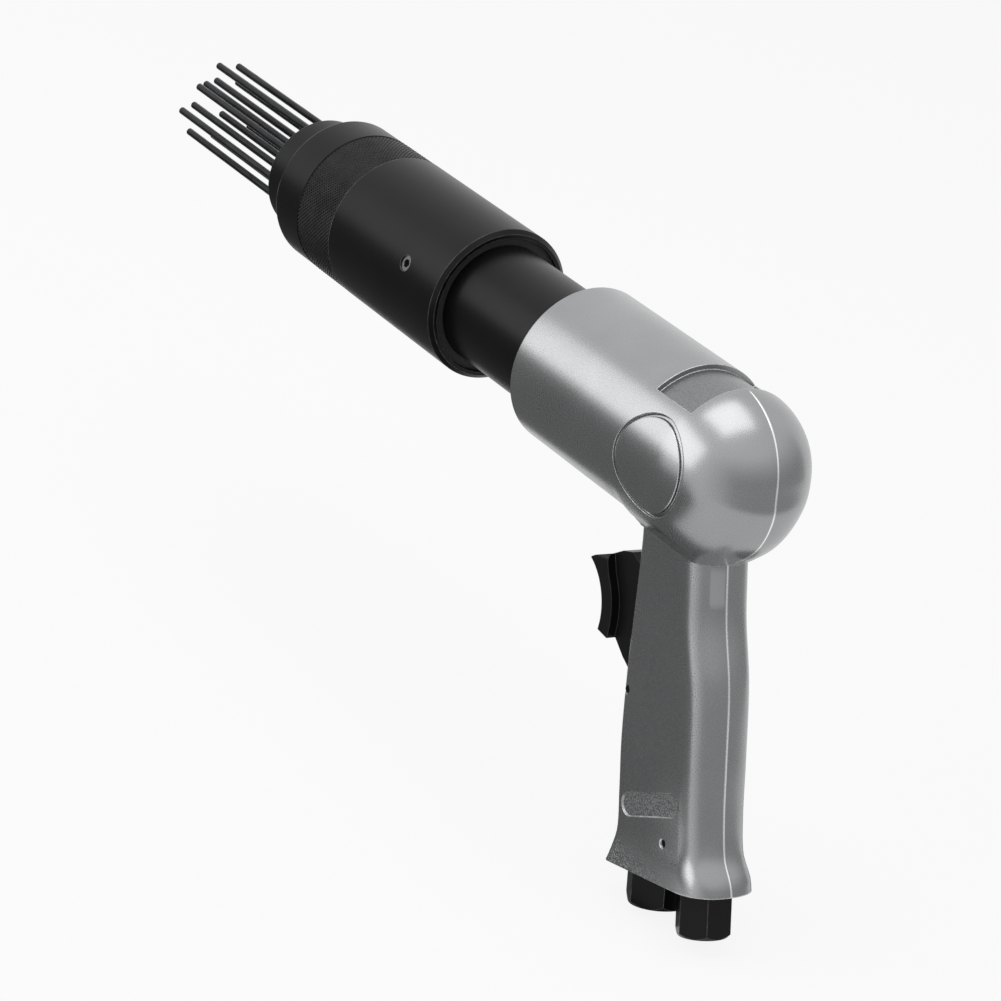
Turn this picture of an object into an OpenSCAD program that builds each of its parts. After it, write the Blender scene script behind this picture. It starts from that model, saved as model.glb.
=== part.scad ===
// Air needle scaler with a pistol handle.
// The origin lies on the needle axis, in the shoulder plane behind the nozzle.
// +X points to the needle tips, +Y to the tool's left and +Z up.

/* [Nozzle and ring] */
// How far the nozzle stands out from the tube's outside
nozzle_step = 0.1; // [0:0.1:1]
// Length of the nozzle in front of its shoulder
nozzle_l = 17.5; // [14:0.5:24]
// Thickness of the plate that guides the needles
guide_plate_t = 6; // [4:0.5:8]
// Length of the nozzle's threaded shank
nozzle_shank_l = 12; // [8:0.5:14]
// Wall that ring and sleeve have round the tube
sleeve_wall = 6.4; // [5.5:0.1:8]
// Length of the grip ring
ring_l = 43.5; // [40:0.5:50]
// Length of the ring's knurled band
knurl_l = 26; // [18:0.5:30]
// Length of the ring's spigot in the sleeve
spigot_l = 10; // [6:0.5:12]

/* [Sleeve] */
// Length of the sleeve
sleeve_l = 77; // [72:0.5:90]
// Depth of the recess around the tube at the sleeve's rear
wiper_recess = 4.5; // [4:0.1:6]
// Width of the rubber wiper
wiper_w = 3; // [2:0.1:3.5]
// Distance of the set screw from the sleeve's rear rim
screw_from_rim = 24; // [16:0.5:40]
// Angle of the set screw above the tool's left
screw_angle = 15; // [0:1:30]
// Thread diameter of the set screw
screw_d = 6; // [5:0.5:8]
// Key width of the set screw
screw_key = 3; // [2.5:0.1:4]

/* [Barrel tube] */
// Outer diameter of the tube
tube_d = 47.2; // [46.8:0.1:47.8]
// Length of the tube seen between housing and sleeve
tube_shown = 57; // [40:0.5:70]
// Length of the tube inside the housing
tube_in_housing = 24; // [16:0.5:30]
// Length of the tube inside the sleeve and ring
tube_in_sleeve = 83; // [80:0.5:86]
// Thickness of the tube's wall
tube_wall = 3; // [2.6:0.1:3.4]
// Depth of the tube's inner shoulder
tube_step = 0.85; // [0.6:0.05:1]

/* [Needles] */
// Diameter of a needle
needle_d = 3; // [2.6:0.1:3.2]
// Whole length of a needle
needle_l = 180; // [150:1:190]
// Diameter of a needle head
head_d = 4.4; // [4:0.1:4.6]
// Length of a needle head
head_l = 3; // [2:0.1:4]
// Distance of the outer ring of needles from the tube's bore
needle_ring_in = 3.4; // [3.3:0.1:4]
// Distance between the outer and the inner ring of needles
needle_rings_apart = 9.5; // [8.5:0.1:10]
// How far each needle slides in its holder
needle_play = 24; // [23:0.5:26]
// Thickness of the holder's front plate
holder_plate_t = 6; // [4:0.5:8]
// Distance from the holder's plate to the tube's front end
holder_set_back = 12; // [10:0.5:14]
// Wire diameter of the return spring
return_wire = 1.2; // [1:0.1:1.4]
// Number of curls in the return spring
return_curls = 8; // [6:1:9]

/* [Hammer] */
// Length of the anvil's head
anvil_head_l = 20; // [16:0.5:24]
// Diameter of the anvil's shank
anvil_shank_d = 16; // [14:0.5:18]
// Length of the anvil's tail inside the cylinder
anvil_tail_l = 24; // [16:0.5:30]
// Thickness of the rubber buffer behind the anvil
buffer_t = 2; // [1.5:0.1:3]
// Length of the anvil bush
anvil_bush_l = 30.5; // [24:0.5:34]
// Gap for the used air between the cylinder and the tube
air_gap = 1.95; // [1.5:0.05:2.5]
// Thickness of the cylinder's wall
cylinder_wall = 7; // [6.5:0.1:7.5]
// Length of the cylinder
cylinder_l = 114; // [110:0.5:116]
// Length of the piston
piston_l = 45; // [36:0.5:46]
// Thickness of the valve chest
chest_t = 8; // [7:0.1:10]
// Thickness of the valve cap
valve_cap_t = 6; // [5:0.1:8]
// Diameter of the floating valve disc
valve_disc_d = 20; // [16:0.1:22]
// Thickness of the floating valve disc
valve_disc_t = 1.5; // [1:0.1:2]
// Travel of the floating valve disc
valve_disc_travel = 0.7; // [0.4:0.1:1]
// Thickness of the wave washer
washer_t = 2; // [1.5:0.1:2.5]

/* [Housing] */
// Outer diameter of the barrel and of its ball end
barrel_d = 61.4; // [60:0.1:66]
// Length from the front rim to the ball's centre
barrel_l = 88; // [84:0.5:92]
// Depth of the air chamber behind the valve
chamber_l = 16; // [12:0.5:18]
// Step from the cylinder's seat in to the air chamber
chamber_step = 5.5; // [5:0.1:7]
// Length of the label pocket on top
pocket_l = 20.5; // [14:0.5:24]
// Distance of the label pocket from the front rim
pocket_from_rim = 70; // [50:0.5:72]
// Depth of the label pocket
pocket_t = 2; // [1:0.1:2.5]
// Angle that the label pocket spans round the barrel
pocket_span = 88; // [60:1:110]
// Radius of the round outline on the left side
disc_r = 17.8; // [14:0.1:18.5]
// Distance of the round outline from the front rim
disc_from_rim = 83.8; // [78:0.1:86]
// Width of the groove that draws the round outline
disc_groove_w = 1.4; // [0.6:0.1:1.6]
// Depth of the groove that draws the round outline
disc_groove_t = 1; // [0.4:0.1:1]

/* [Handle] */
// Distance from the front rim to the handle's axis on the barrel axis
handle_from_rim = 70; // [66:0.5:74]
// Angle of the handle's axis
rake = 14; // [12:0.5:16]
// Length of the handle from the barrel axis to the base
handle_l = 150.5; // [146:0.5:156]
// Width of the handle
handle_w = 26; // [25:0.1:30]
// Radius of the handle's front edges
front_edge_r = 4; // [3:0.1:6]
// Distance from the handle's axis to its front in the middle
handle_front = 12.4; // [12:0.1:14]
// Distance from the handle's axis to its back in the middle
handle_back = 33.2; // [33:0.1:36]
// Length of the label recess low on the left side
tag_l = 33; // [20:0.5:34]
// Width of the label recess
tag_w = 8.5; // [6:0.1:9]
// Depth of the label recess
tag_t = 0.6; // [0.4:0.1:1]
// Distance of the label recess from the base
tag_up = 25.5; // [20:0.5:40]
// Distance of the label recess behind the handle's axis
tag_back = 9.6; // [8:0.1:12]

/* [Air connection] */
// Key width of the inlet bushing's hexagon
inlet_key = 18; // [17:0.1:19]
// Height of the inlet bushing's hexagon
inlet_hex_l = 17.3; // [14:0.1:20]
// Bore of the inlet thread, quarter inch pipe
inlet_bore = 13.16; // [11:0.01:13.4]
// Depth of the inlet thread
inlet_thread_l = 12; // [10:0.1:14]
// Diameter of the bushing's shank
inlet_shank_d = 16; // [15.5:0.1:16.4]
// Length of the bushing's shank
inlet_shank_l = 22; // [18:0.5:26]
// Distance of the inlet from the handle's axis
inlet_back = 27.5; // [27:0.1:28]
// Further lean of the inlet passage
inlet_lean = 4; // [3:0.1:4.5]
// Key width of the exhaust cap's hexagon
exhaust_key = 22; // [20:0.1:24]
// Height of the exhaust cap's hexagon
exhaust_hex_l = 13.5; // [10:0.1:16]
// Shank diameter of the exhaust cap
exhaust_shank_d = 18; // [16:0.1:18.4]
// Shank length of the exhaust cap
exhaust_shank_l = 12; // [8:0.5:14]
// Distance of the exhaust from the handle's axis
exhaust_back = 2.5; // [2:0.1:3]
// Diameter of the exhaust outlet
exhaust_outlet_d = 11; // [8:0.1:12]

/* [Trigger and throttle] */
// Depth of the trigger pin below the barrel axis along the handle
trigger_pin_down = 88; // [86:0.5:90]
// Distance of the trigger pin in front of the handle's axis
trigger_pin_front = 9.2; // [8.8:0.1:9.4]
// Diameter of the cross pins
pin_d = 3; // [2.5:0.1:3.2]
// Width of the finger pad
pad_w = 17; // [14:0.5:20]
// Width of the trigger's web
web_w = 10; // [8:0.1:11]
// Radius of the finger hollow
finger_r = 22; // [20:0.5:26]
// Thickness of the finger pad
pad_t = 6; // [4.5:0.1:6.5]
// Travel of the trigger in degrees
trigger_travel = 5.5; // [4:0.1:6]
// Depth of the push pin below the barrel axis along the handle
push_pin_down = 62; // [60:0.5:64]
// Diameter of the push pin
push_pin_d = 4; // [3:0.1:4.4]
// Distance of the throttle seat below the push pin
seat_below_pin = 15.7; // [14:0.1:18]
// Outer diameter of the throttle seat
seat_d = 13; // [12.5:0.1:13.2]
// Diameter of the throttle valve's disc
throttle_disc_d = 10.4; // [9:0.1:11]
// Diameter of the throttle valve's stem
stem_d = 3; // [2.5:0.1:3.2]
// Wire diameter of the throttle spring
throttle_wire = 0.9; // [0.7:0.1:1]
// Number of curls in the throttle spring
throttle_curls = 9; // [6:1:10]

/* [Hidden] */
$fn = 96;

// Radial gap of what slides or turns
running = 0.05;
// Radial gap of what is screwed, pressed or laid in
seated = 0.05;
// Gap between flat faces of pieces that part in use
face_gap = 0.1;
// Overlap that makes a cut pass its face
past = 1;

// Needle pattern: eight outside, four inside
outer_count = 8;
inner_count = 4;
needle_count = outer_count + inner_count;
first_needle_angle = 121.6;
inner_turn = 22.5;
// How far each needle has slid back from its most forward place
slid_back = [12, 1, 20, 10, 12, 16, 23, 18, 1, 13, 7, 11];

// Diameters that follow from the tube's
nozzle_d = tube_d + 2 * nozzle_step;
ring_d = tube_d + 2 * sleeve_wall;
tube_bore = tube_d - 2 * tube_wall;
tube_rear_bore_r = tube_bore / 2 + tube_step;
cylinder_d = 2 * (tube_rear_bore_r - air_gap);
cylinder_bore = cylinder_d - 2 * cylinder_wall;
chamber_d = cylinder_d - 2 * chamber_step;
outer_ring_r = tube_bore / 2 - needle_ring_in;
inner_ring_r = outer_ring_r - needle_rings_apart;

// Places along the barrel axis, from the nozzle's shoulder back
ring_rear_x = -ring_l;
sleeve_rear_x = ring_rear_x - sleeve_l;
housing_x = sleeve_rear_x - tube_shown;
tube_front_x = sleeve_rear_x + tube_in_sleeve;
tube_rear_x = housing_x - tube_in_housing;
plate_front_x = tube_front_x - holder_set_back;
plate_rear_x = plate_front_x - holder_plate_t;
head_clearance = 0.5;
anvil_face_x = plate_rear_x - needle_play - head_l - head_clearance;
anvil_rear_x = anvil_face_x - anvil_head_l;
buffer_front_x = anvil_rear_x - face_gap;
bush_front_x = buffer_front_x - buffer_t;
bush_rear_x = bush_front_x - anvil_bush_l;
cylinder_rear_x = bush_rear_x - cylinder_l;
chest_rear_x = cylinder_rear_x - chest_t;
valve_cap_rear_x = chest_rear_x - valve_cap_t;
bore_end_x = valve_cap_rear_x - washer_t;
ball_x = housing_x - barrel_l;
handle_x = housing_x - handle_from_rim;

// Radial room round what lies loose inside another piece
small_room = 0.15;
spring_room = 0.2;
wide_room = 0.3;
needle_room = 0.5;

// Radii that follow from the fits
holder_r = tube_bore / 2 - running;
cage_r = outer_ring_r + head_d / 2 + small_room;
return_r = tube_bore / 2 - spring_room - return_wire / 2;
needle_room_r = outer_ring_r + needle_d / 2 + needle_room;
ring_bore_r = tube_d / 2 + 0.6;
spigot_r = ring_bore_r + 1.8;
wiper_r = tube_d / 2 + 3.4;
nozzle_shank_r = nozzle_d / 2 - 1.2;
feed_r = (cylinder_d + cylinder_bore) / 4;
feed_hole_r = 1.25;
feed_angles = [-60, 60];
edge = 0.6;
anvil_edge = 1;

// Groove round the cylinder that gathers the used air
exhaust_groove_r = cylinder_d / 2 + 3;
exhaust_groove_x = chest_rear_x - 3;
exhaust_groove_l = 35;

// Recess for the tube's seal in the front of the housing
seal_recess = 2.2;
seal_recess_r = tube_d / 2 + 2;
seal_section_r = 0.95;

// Air passages in the handle
passage_r = 4.8;
upper_passage_r = 3.4;
inlet_top_down = 15;
exhaust_top_down = 18;
base_seat = 0.8;
seal_t = 1;

// Throttle stem and seat, measured up the inlet passage
pin_up_inlet = (handle_l - push_pin_down) / cos(inlet_lean);
seat_up = pin_up_inlet - seat_below_pin;
stem_above_pin = 2;
stem_up = pin_up_inlet + stem_above_pin;
stem_room = stem_up + 5;

// Cross pin that holds the inlet bushing, seen from the inlet's axis
bushing_pin_up = 14;
bushing_pin_front = 8.7;
bushing_pin_down = handle_l - bushing_pin_up;
bushing_pin_back = inlet_back - bushing_pin_front;
bushing_pin_x = bushing_pin_front * cos(inlet_lean) - bushing_pin_up * sin(inlet_lean);
bushing_pin_z = bushing_pin_front * sin(inlet_lean) + bushing_pin_up * cos(inlet_lean);
neck_groove_r = bushing_pin_x - pin_d / 2 - running;
neck_groove_half = pin_d / 2 + 0.2;

// Half outline of a turned piece, as [radius, x] points, turned about the barrel axis
module turned(outline) {
    rotate([0, 90, 0]) rotate_extrude() polygon(outline);
}

// Rod along the barrel axis
module rod_x(r, from, to) {
    translate([from, 0, 0]) rotate([0, 90, 0]) cylinder(r = r, h = to - from);
}

// Pipe along the barrel axis
module pipe_x(r_out, r_in, from, to) {
    difference() {
        rod_x(r_out, from, to);
        rod_x(r_in, from - past, to + past);
    }
}

// Rubber ring round the barrel axis
module rubber_ring(r, section_r, at) {
    translate([at, 0, 0]) rotate([0, 90, 0]) rotate_extrude() translate([r, 0]) circle(r = section_r);
}

// Frame of the handle: z runs up its axis, x forward, origin on the barrel axis
module at_handle() {
    translate([handle_x, 0, 0]) rotate([0, rake, 0]) children();
}

// Frame of the inlet passage: z runs up the passage, origin in the handle's base
module at_inlet() {
    at_handle() translate([-inlet_back, 0, -handle_l]) rotate([0, inlet_lean, 0]) children();
}

// Frame of the exhaust: z runs up the handle, origin in the handle's base
module at_exhaust() {
    at_handle() translate([-exhaust_back, 0, -handle_l]) children();
}

// Pin across the handle at a place given in the handle's frame
module cross_pin(r, l, front, down) {
    at_handle() translate([front, 0, -down]) rotate([90, 0, 0]) cylinder(r = r, h = l, center = true);
}

// Hexagon head with its free end chamfered, standing down from z = 0
module hex_head(key, l, chamfer) {
    corner_r = key / sqrt(3);
    intersection() {
        translate([0, 0, -l]) rotate([0, 0, 30]) cylinder(r = corner_r, h = l, $fn = 6);
        rotate_extrude() polygon([
            [0, 0], [corner_r, 0], [corner_r, chamfer - l], [corner_r - chamfer, -l], [0, -l]
        ]);
    }
}

// Faces of a loft through equal rings of points, each ring counted anticlockwise from above
function loft_faces(rings, per_ring) = concat(
    [[for (j = [0 : per_ring - 1]) j]],
    [for (i = [0 : rings - 2]) for (j = [0 : per_ring - 1])
        let (a = i * per_ring, b = (j + 1) % per_ring) [a + j, a + per_ring + b, a + b]],
    [for (i = [0 : rings - 2]) for (j = [0 : per_ring - 1])
        let (a = i * per_ring, b = (j + 1) % per_ring) [a + j, a + per_ring + j, a + per_ring + b]],
    [[for (j = [per_ring - 1 : -1 : 0]) (rings - 1) * per_ring + j]]
);

// Spring wound about z, from z = 0 to z = l, as one tube
module coil(l, mean_r, wire_d, curls) {
    rings_per_curl = 20;
    sides = 6;
    rings = curls * rings_per_curl + 1;
    rise = l - wire_d;
    points = [for (i = [0 : rings - 1]) for (j = [0 : sides - 1])
        let (turn = 360 * i / rings_per_curl, side = 360 * j / sides,
             r = mean_r + wire_d / 2 * cos(side), z = wire_d / 2 + rise * i / (rings - 1))
        [r * cos(turn), r * sin(turn), z + wire_d / 2 * sin(side)]];
    polyhedron(points = points, faces = loft_faces(rings, sides), convexity = 10);
}

// Value of one column of a table at t, on a smooth curve through its rows
function slope(table, i, column) =
    let (low = max(i - 1, 0), high = min(i + 1, len(table) - 1))
    (table[high][column] - table[low][column]) / (table[high][0] - table[low][0]);
function span_at(table, t, i = 0) =
    i >= len(table) - 2 || t < table[i + 1][0] ? i : span_at(table, t, i + 1);
function smooth(table, column, t) =
    let (i = span_at(table, t), h = table[i + 1][0] - table[i][0], u = (t - table[i][0]) / h)
    table[i][column] * (1 + 2 * u) * (1 - u) * (1 - u)
    + slope(table, i, column) * h * u * (1 - u) * (1 - u)
    + table[i + 1][column] * u * u * (3 - 2 * u)
    + slope(table, i + 1, column) * h * u * u * (u - 1);

// Handle outline by height: share of the handle's length up from the base, then how much
// the front, the back, the depth of the round back and the half width stand out from the
// middle section's
handle_stations = [
    [0.000, 0.6, 9.6, 6.0, 2.2],
    [0.030, -0.9, 8.4, 4.2, 1.5],
    [0.080, -2.0, 4.2, 2.2, 0.2],
    [0.170, -1.2, 1.8, 0.9, 0.0],
    [0.300, 0.0, 0.4, 0.0, 0.0],
    [0.480, -0.5, -1.6, 0.0, 0.0],
    [0.620, -1.8, -5.9, 0.0, 0.0],
    [0.735, -2.9, -7.6, 0.0, 0.0],
    [0.790, -3.4, -8.2, 0.4, 0.2],
    [0.850, -3.8, -8.4, 0.8, 0.8]
];
round_back = 8;
back_steps = 14;
edge_steps = 4;
handle_rings = 26;
ring_points = back_steps + 1 + 2 * (edge_steps + 1);

// Side of a round back, fuller than an ellipse where the power is below one
handle_power = 0.84;
function full(v, power = handle_power) = sign(v) * pow(abs(v), power);

// One section of the handle, anticlockwise from above
function handle_ring(share) =
    let (front = handle_front + smooth(handle_stations, 1, share),
         back = handle_back + smooth(handle_stations, 2, share),
         depth = round_back + smooth(handle_stations, 3, share),
         half = handle_w / 2 + smooth(handle_stations, 4, share),
         z = handle_l * (share - 1))
    concat(
        [for (k = [0 : back_steps]) let (a = 90 + 180 * k / back_steps)
            [depth - back + depth * full(cos(a)), half * full(sin(a)), z]],
        [for (k = [0 : edge_steps]) let (a = -90 + 90 * k / edge_steps)
            [front - front_edge_r * (1 - cos(a)), -half + front_edge_r * (1 + sin(a)), z]],
        [for (k = [0 : edge_steps]) let (a = 90 * k / edge_steps)
            [front - front_edge_r * (1 - cos(a)), half - front_edge_r * (1 - sin(a)), z]]
    );

module handle_body() {
    top_share = handle_stations[len(handle_stations) - 1][0];
    closer_low = 1.3;
    points = [for (i = [0 : handle_rings - 1])
        each handle_ring(top_share * pow(i / (handle_rings - 1), closer_low))];
    at_handle() polyhedron(points = points, faces = loft_faces(handle_rings, ring_points), convexity = 6);
}

// Collar under the ball end by height: how far it reaches behind the ball's centre, how far
// behind it its round back starts, half its width, how far it reaches in front, back's power
collar_stations = [
    [-29.6, 16.2, 8.4, 13.7, 19.6, 0.84],
    [-27.0, 19.4, 7.6, 16.0, 22.0, 0.88],
    [-22.0, 24.8, 4.0, 20.8, 24.0, 0.93],
    [-16.0, 29.2, 1.2, 24.8, 24.0, 0.98],
    [-9.0, 31.6, 0.0, 27.8, 24.0, 1.0],
    [-2.0, 31.8, 0.0, 29.0, 24.0, 1.0],
    [6.0, 29.2, 0.0, 28.4, 24.0, 1.0]
];
collar_rings = 12;

// One section of the collar, anticlockwise from above
function collar_ring(z) =
    let (rear = smooth(collar_stations, 1, z), start = smooth(collar_stations, 2, z),
         half = smooth(collar_stations, 3, z), front = smooth(collar_stations, 4, z),
         power = smooth(collar_stations, 5, z))
    concat(
        [for (k = [0 : back_steps]) let (a = 90 + 180 * k / back_steps)
            [(rear - start) * full(cos(a), power) - start, half * full(sin(a), power), z]],
        [for (k = [0 : edge_steps]) let (a = -90 + 90 * k / edge_steps)
            [front - front_edge_r * (1 - cos(a)), -half + front_edge_r * (1 + sin(a)), z]],
        [for (k = [0 : edge_steps]) let (a = 90 * k / edge_steps)
            [front - front_edge_r * (1 - cos(a)), half - front_edge_r * (1 - sin(a)), z]]
    );

module neck_collar() {
    low = collar_stations[0][0];
    high = collar_stations[len(collar_stations) - 1][0];
    points = [for (i = [0 : collar_rings - 1]) each collar_ring(low + (high - low) * i / (collar_rings - 1))];
    translate([ball_x, 0, 0])
        polyhedron(points = points, faces = loft_faces(collar_rings, ring_points), convexity = 6);
}

// Barrel and ball end, drawn in by a margin
module barrel_body(margin) {
    r = barrel_d / 2 - margin;
    ball_steps = 24;
    turned(concat(
        [for (k = [0 : ball_steps]) let (a = 90 * k / ball_steps) [r * sin(a), ball_x - r * cos(a)]],
        [[r, housing_x], [0, housing_x]]
    ));
}

// Stepped bore: air chamber, cylinder seat with its exhaust groove, tube seat and seal recess
module main_bore() {
    seat_r = cylinder_d / 2 + seated;
    tube_r = tube_d / 2 + seated;
    groove_front_x = exhaust_groove_x + exhaust_groove_l;
    turned([
        [0, bore_end_x - chamber_l], [chamber_d / 2, bore_end_x - chamber_l], [chamber_d / 2, bore_end_x],
        [seat_r, bore_end_x], [seat_r, exhaust_groove_x], [exhaust_groove_r, exhaust_groove_x],
        [exhaust_groove_r, groove_front_x], [seat_r, groove_front_x],
        [seat_r, tube_rear_x], [tube_r, tube_rear_x], [tube_r, housing_x - seal_recess],
        [seal_recess_r, housing_x - seal_recess], [seal_recess_r, housing_x + past], [0, housing_x + past]
    ]);
}

// Label pocket over the top of the barrel
module label_pocket() {
    far = barrel_d;
    half_span = pocket_span / 2;
    front_x = housing_x - pocket_from_rim;
    intersection() {
        pipe_x(far, barrel_d / 2 - pocket_t, front_x - pocket_l, front_x);
        translate([front_x - pocket_l - past, 0, 0]) rotate([90, 0, 90]) linear_extrude(pocket_l + 2 * past)
            polygon([[0, 0], [far * tan(half_span), far], [-far * tan(half_span), far]]);
    }
}

// Groove that draws the round outline on the left side, as deep all round
module disc_groove() {
    difference() {
        translate([housing_x - disc_from_rim, 0, 0]) rotate([-90, 0, 0]) difference() {
            cylinder(r = disc_r, h = barrel_d);
            translate([0, 0, -past]) cylinder(r = disc_r - disc_groove_w, h = barrel_d + 2 * past);
        }
        barrel_body(disc_groove_t);
    }
}

// Label recess with round ends, level across the handle's left side
module tag_recess() {
    depth = tag_t + 2 * past;
    at_handle() translate([-tag_back, handle_w / 2 - tag_t, tag_up - handle_l]) rotate([-90, rake, 0])
        linear_extrude(depth) {
            square([tag_l - tag_w, tag_w], center = true);
            for (end = [-1, 1]) translate([end * (tag_l - tag_w) / 2, 0]) circle(r = tag_w / 2);
        }
}

// Slot in the handle's front that holds the trigger
pocket_back = 4.5;
pocket_top = 43.5;
pocket_low = 8;
module trigger_slot() {
    slot_w = web_w + 1;
    slot_h = trigger_pin_down + pocket_low - pocket_top;
    reach = barrel_d / 2;
    at_handle() translate([pocket_back, -slot_w / 2, -trigger_pin_down - pocket_low])
        cube([reach, slot_w, slot_h]);
}

// Air passages and seats in the handle
module handle_bores() {
    hex_room_r = inlet_key / sqrt(3) + 1;
    exhaust_r = exhaust_shank_d / 2 + seated;
    at_inlet() translate([0, 0, base_seat - 2 * past]) cylinder(r = hex_room_r, h = 2 * past);
    at_inlet() cylinder(r = inlet_shank_d / 2 + seated, h = inlet_shank_l + seated);
    at_inlet() cylinder(r = seat_d / 2, h = seat_up + seat_t);
    at_inlet() cylinder(r = passage_r, h = stem_room);
    at_inlet() cylinder(r = upper_passage_r, h = handle_l - inlet_top_down);
    at_exhaust() translate([0, 0, -past]) cylinder(r = exhaust_r, h = exhaust_shank_l + past);
    at_exhaust() cylinder(r = passage_r, h = handle_l - exhaust_top_down);
    at_handle() translate([pocket_back + past, 0, -push_pin_down]) rotate([0, -90, 0]) {
        cylinder(r = push_bush_r, h = push_bush_l + past);
        cylinder(r = push_pin_d / 2 + spring_room, h = push_bush_l + past + passage_r);
    }
}

module housing() {
    color("silver") difference() {
        union() {
            difference() {
                barrel_body(0);
                disc_groove();
            }
            handle_body();
            neck_collar();
        }
        main_bore();
        label_pocket();
        tag_recess();
        trigger_slot();
        handle_bores();
        cross_pin(pin_d / 2 + seated / 2, handle_w * 2, trigger_pin_front, trigger_pin_down);
        cross_pin(pin_d / 2 + seated / 2, handle_w * 2, -bushing_pin_back, bushing_pin_down);
    }
}

module barrel_tube() {
    color("#26272b") turned([
        [tube_rear_bore_r, tube_rear_x], [tube_d / 2, tube_rear_x], [tube_d / 2, tube_front_x - edge],
        [tube_d / 2 - edge, tube_front_x], [tube_bore / 2, tube_front_x], [tube_bore / 2, bush_front_x],
        [tube_rear_bore_r, bush_front_x]
    ]);
}

module tube_seal() {
    color("#17171a")
        rubber_ring((tube_d / 2 + seal_recess_r) / 2, seal_section_r, housing_x - seal_recess / 2 - running);
}

module cylinder_liner() {
    port_x = exhaust_groove_x + exhaust_groove_l - 6;
    port_r = 2;
    feed_end_x = bush_rear_x - 6;
    feed_turn_x = bush_rear_x - 8;
    color("#8d9096") difference() {
        pipe_x(cylinder_d / 2, cylinder_bore / 2, cylinder_rear_x, bush_rear_x);
        for (a = [45 : 90 : 315]) translate([port_x, 0, 0]) rotate([a, 0, 0])
            cylinder(r = port_r, h = cylinder_d);
        for (a = feed_angles) rotate([a, 0, 0]) translate([0, 0, feed_r])
            rod_x(feed_hole_r, cylinder_rear_x - past, feed_end_x);
        for (a = feed_angles) rotate([a, 0, 0]) translate([feed_turn_x, 0, 0])
            cylinder(r = feed_hole_r, h = feed_r);
        translate([0, 0, feed_r]) rod_x(dowel_r + seated, cylinder_rear_x - past, cylinder_rear_x + dowel_in);
    }
}

// Dowel that keeps the holes of cap, chest and cylinder in line
dowel_r = 1.5;
dowel_in = 4;
dowel_short = 0.5;
module valve_dowel() {
    color("#b9bcc2") translate([0, 0, feed_r])
        rod_x(dowel_r, valve_cap_rear_x + dowel_short, cylinder_rear_x + dowel_in - face_gap);
}

// Holes that the chest and the cap share: two feed holes and the dowel
module valve_holes(from, to) {
    for (a = feed_angles) rotate([a, 0, 0]) translate([0, 0, feed_r])
        rod_x(feed_hole_r, from - past, to + past);
    translate([0, 0, feed_r]) rod_x(dowel_r + seated, from - past, to + past);
}

module valve_chest() {
    pocket_depth = valve_disc_t + valve_disc_travel + 2 * face_gap;
    port_r = 4;
    color("#7f8288") difference() {
        rod_x(cylinder_d / 2, chest_rear_x, cylinder_rear_x);
        rod_x(valve_disc_d / 2 + running, chest_rear_x - past, chest_rear_x + pocket_depth);
        rod_x(port_r, chest_rear_x, cylinder_rear_x + past);
        valve_holes(chest_rear_x, cylinder_rear_x);
    }
}

module valve_disc() {
    hole_r = 1.5;
    rear = chest_rear_x + face_gap;
    color("#c6c8cc") pipe_x(valve_disc_d / 2, hole_r, rear, rear + valve_disc_t);
}

module valve_cap() {
    hole_r = 1.5;
    color("#7f8288") difference() {
        rod_x(cylinder_d / 2, valve_cap_rear_x, chest_rear_x);
        for (a = [0 : 60 : 300]) rotate([a, 0, 0]) translate([0, 0, valve_disc_d / 4])
            rod_x(hole_r, valve_cap_rear_x - past, chest_rear_x + past);
        valve_holes(valve_cap_rear_x, chest_rear_x);
    }
}

module wave_washer() {
    color("#9a9da3") pipe_x(cylinder_d / 2 - spring_room, chamber_d / 2, bore_end_x, valve_cap_rear_x);
}

// Hammer piston with an oil groove round its middle
tail_end_x = bush_rear_x - anvil_tail_l;
module piston() {
    front = tail_end_x - 3 * face_gap;
    rear = front - piston_l;
    r = cylinder_bore / 2 - running;
    middle = (front + rear) / 2;
    groove_half = 1.2;
    groove_t = 0.8;
    mouth_half = groove_half + groove_t;
    color("#b5b8be") turned([
        [0, rear], [r - anvil_edge, rear], [r, rear + anvil_edge], [r, middle - mouth_half],
        [r - groove_t, middle - groove_half], [r - groove_t, middle + groove_half], [r, middle + mouth_half],
        [r, front - anvil_edge], [r - anvil_edge, front], [0, front]
    ]);
}

module anvil() {
    head_r = tube_bore / 2 - running;
    shank_r = anvil_shank_d / 2;
    tail_edge = 1.5;
    color("#9fa2a8") turned([
        [0, tail_end_x], [shank_r - tail_edge, tail_end_x], [shank_r, tail_end_x + tail_edge],
        [shank_r, anvil_rear_x], [head_r - anvil_edge, anvil_rear_x], [head_r, anvil_rear_x + anvil_edge],
        [head_r, anvil_face_x - anvil_edge], [head_r - anvil_edge, anvil_face_x], [0, anvil_face_x]
    ]);
}

module anvil_bush() {
    color("#8a6f3c")
        pipe_x(tube_rear_bore_r - seated, anvil_shank_d / 2 + running, bush_rear_x, bush_front_x);
}

module anvil_buffer() {
    color("#1b1b1e")
        pipe_x(tube_bore / 2 - spring_room, anvil_shank_d / 2 + wide_room, bush_front_x, buffer_front_x);
}

// Places children at needle number i, counted from 0
module at_needle(i) {
    outside = i < outer_count;
    r = outside ? outer_ring_r : inner_ring_r;
    angle = outside ? first_needle_angle + 360 / outer_count * i
        : first_needle_angle + inner_turn + 360 / inner_count * (i - outer_count);
    translate([0, r * cos(angle), r * sin(angle)]) children();
}

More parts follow.
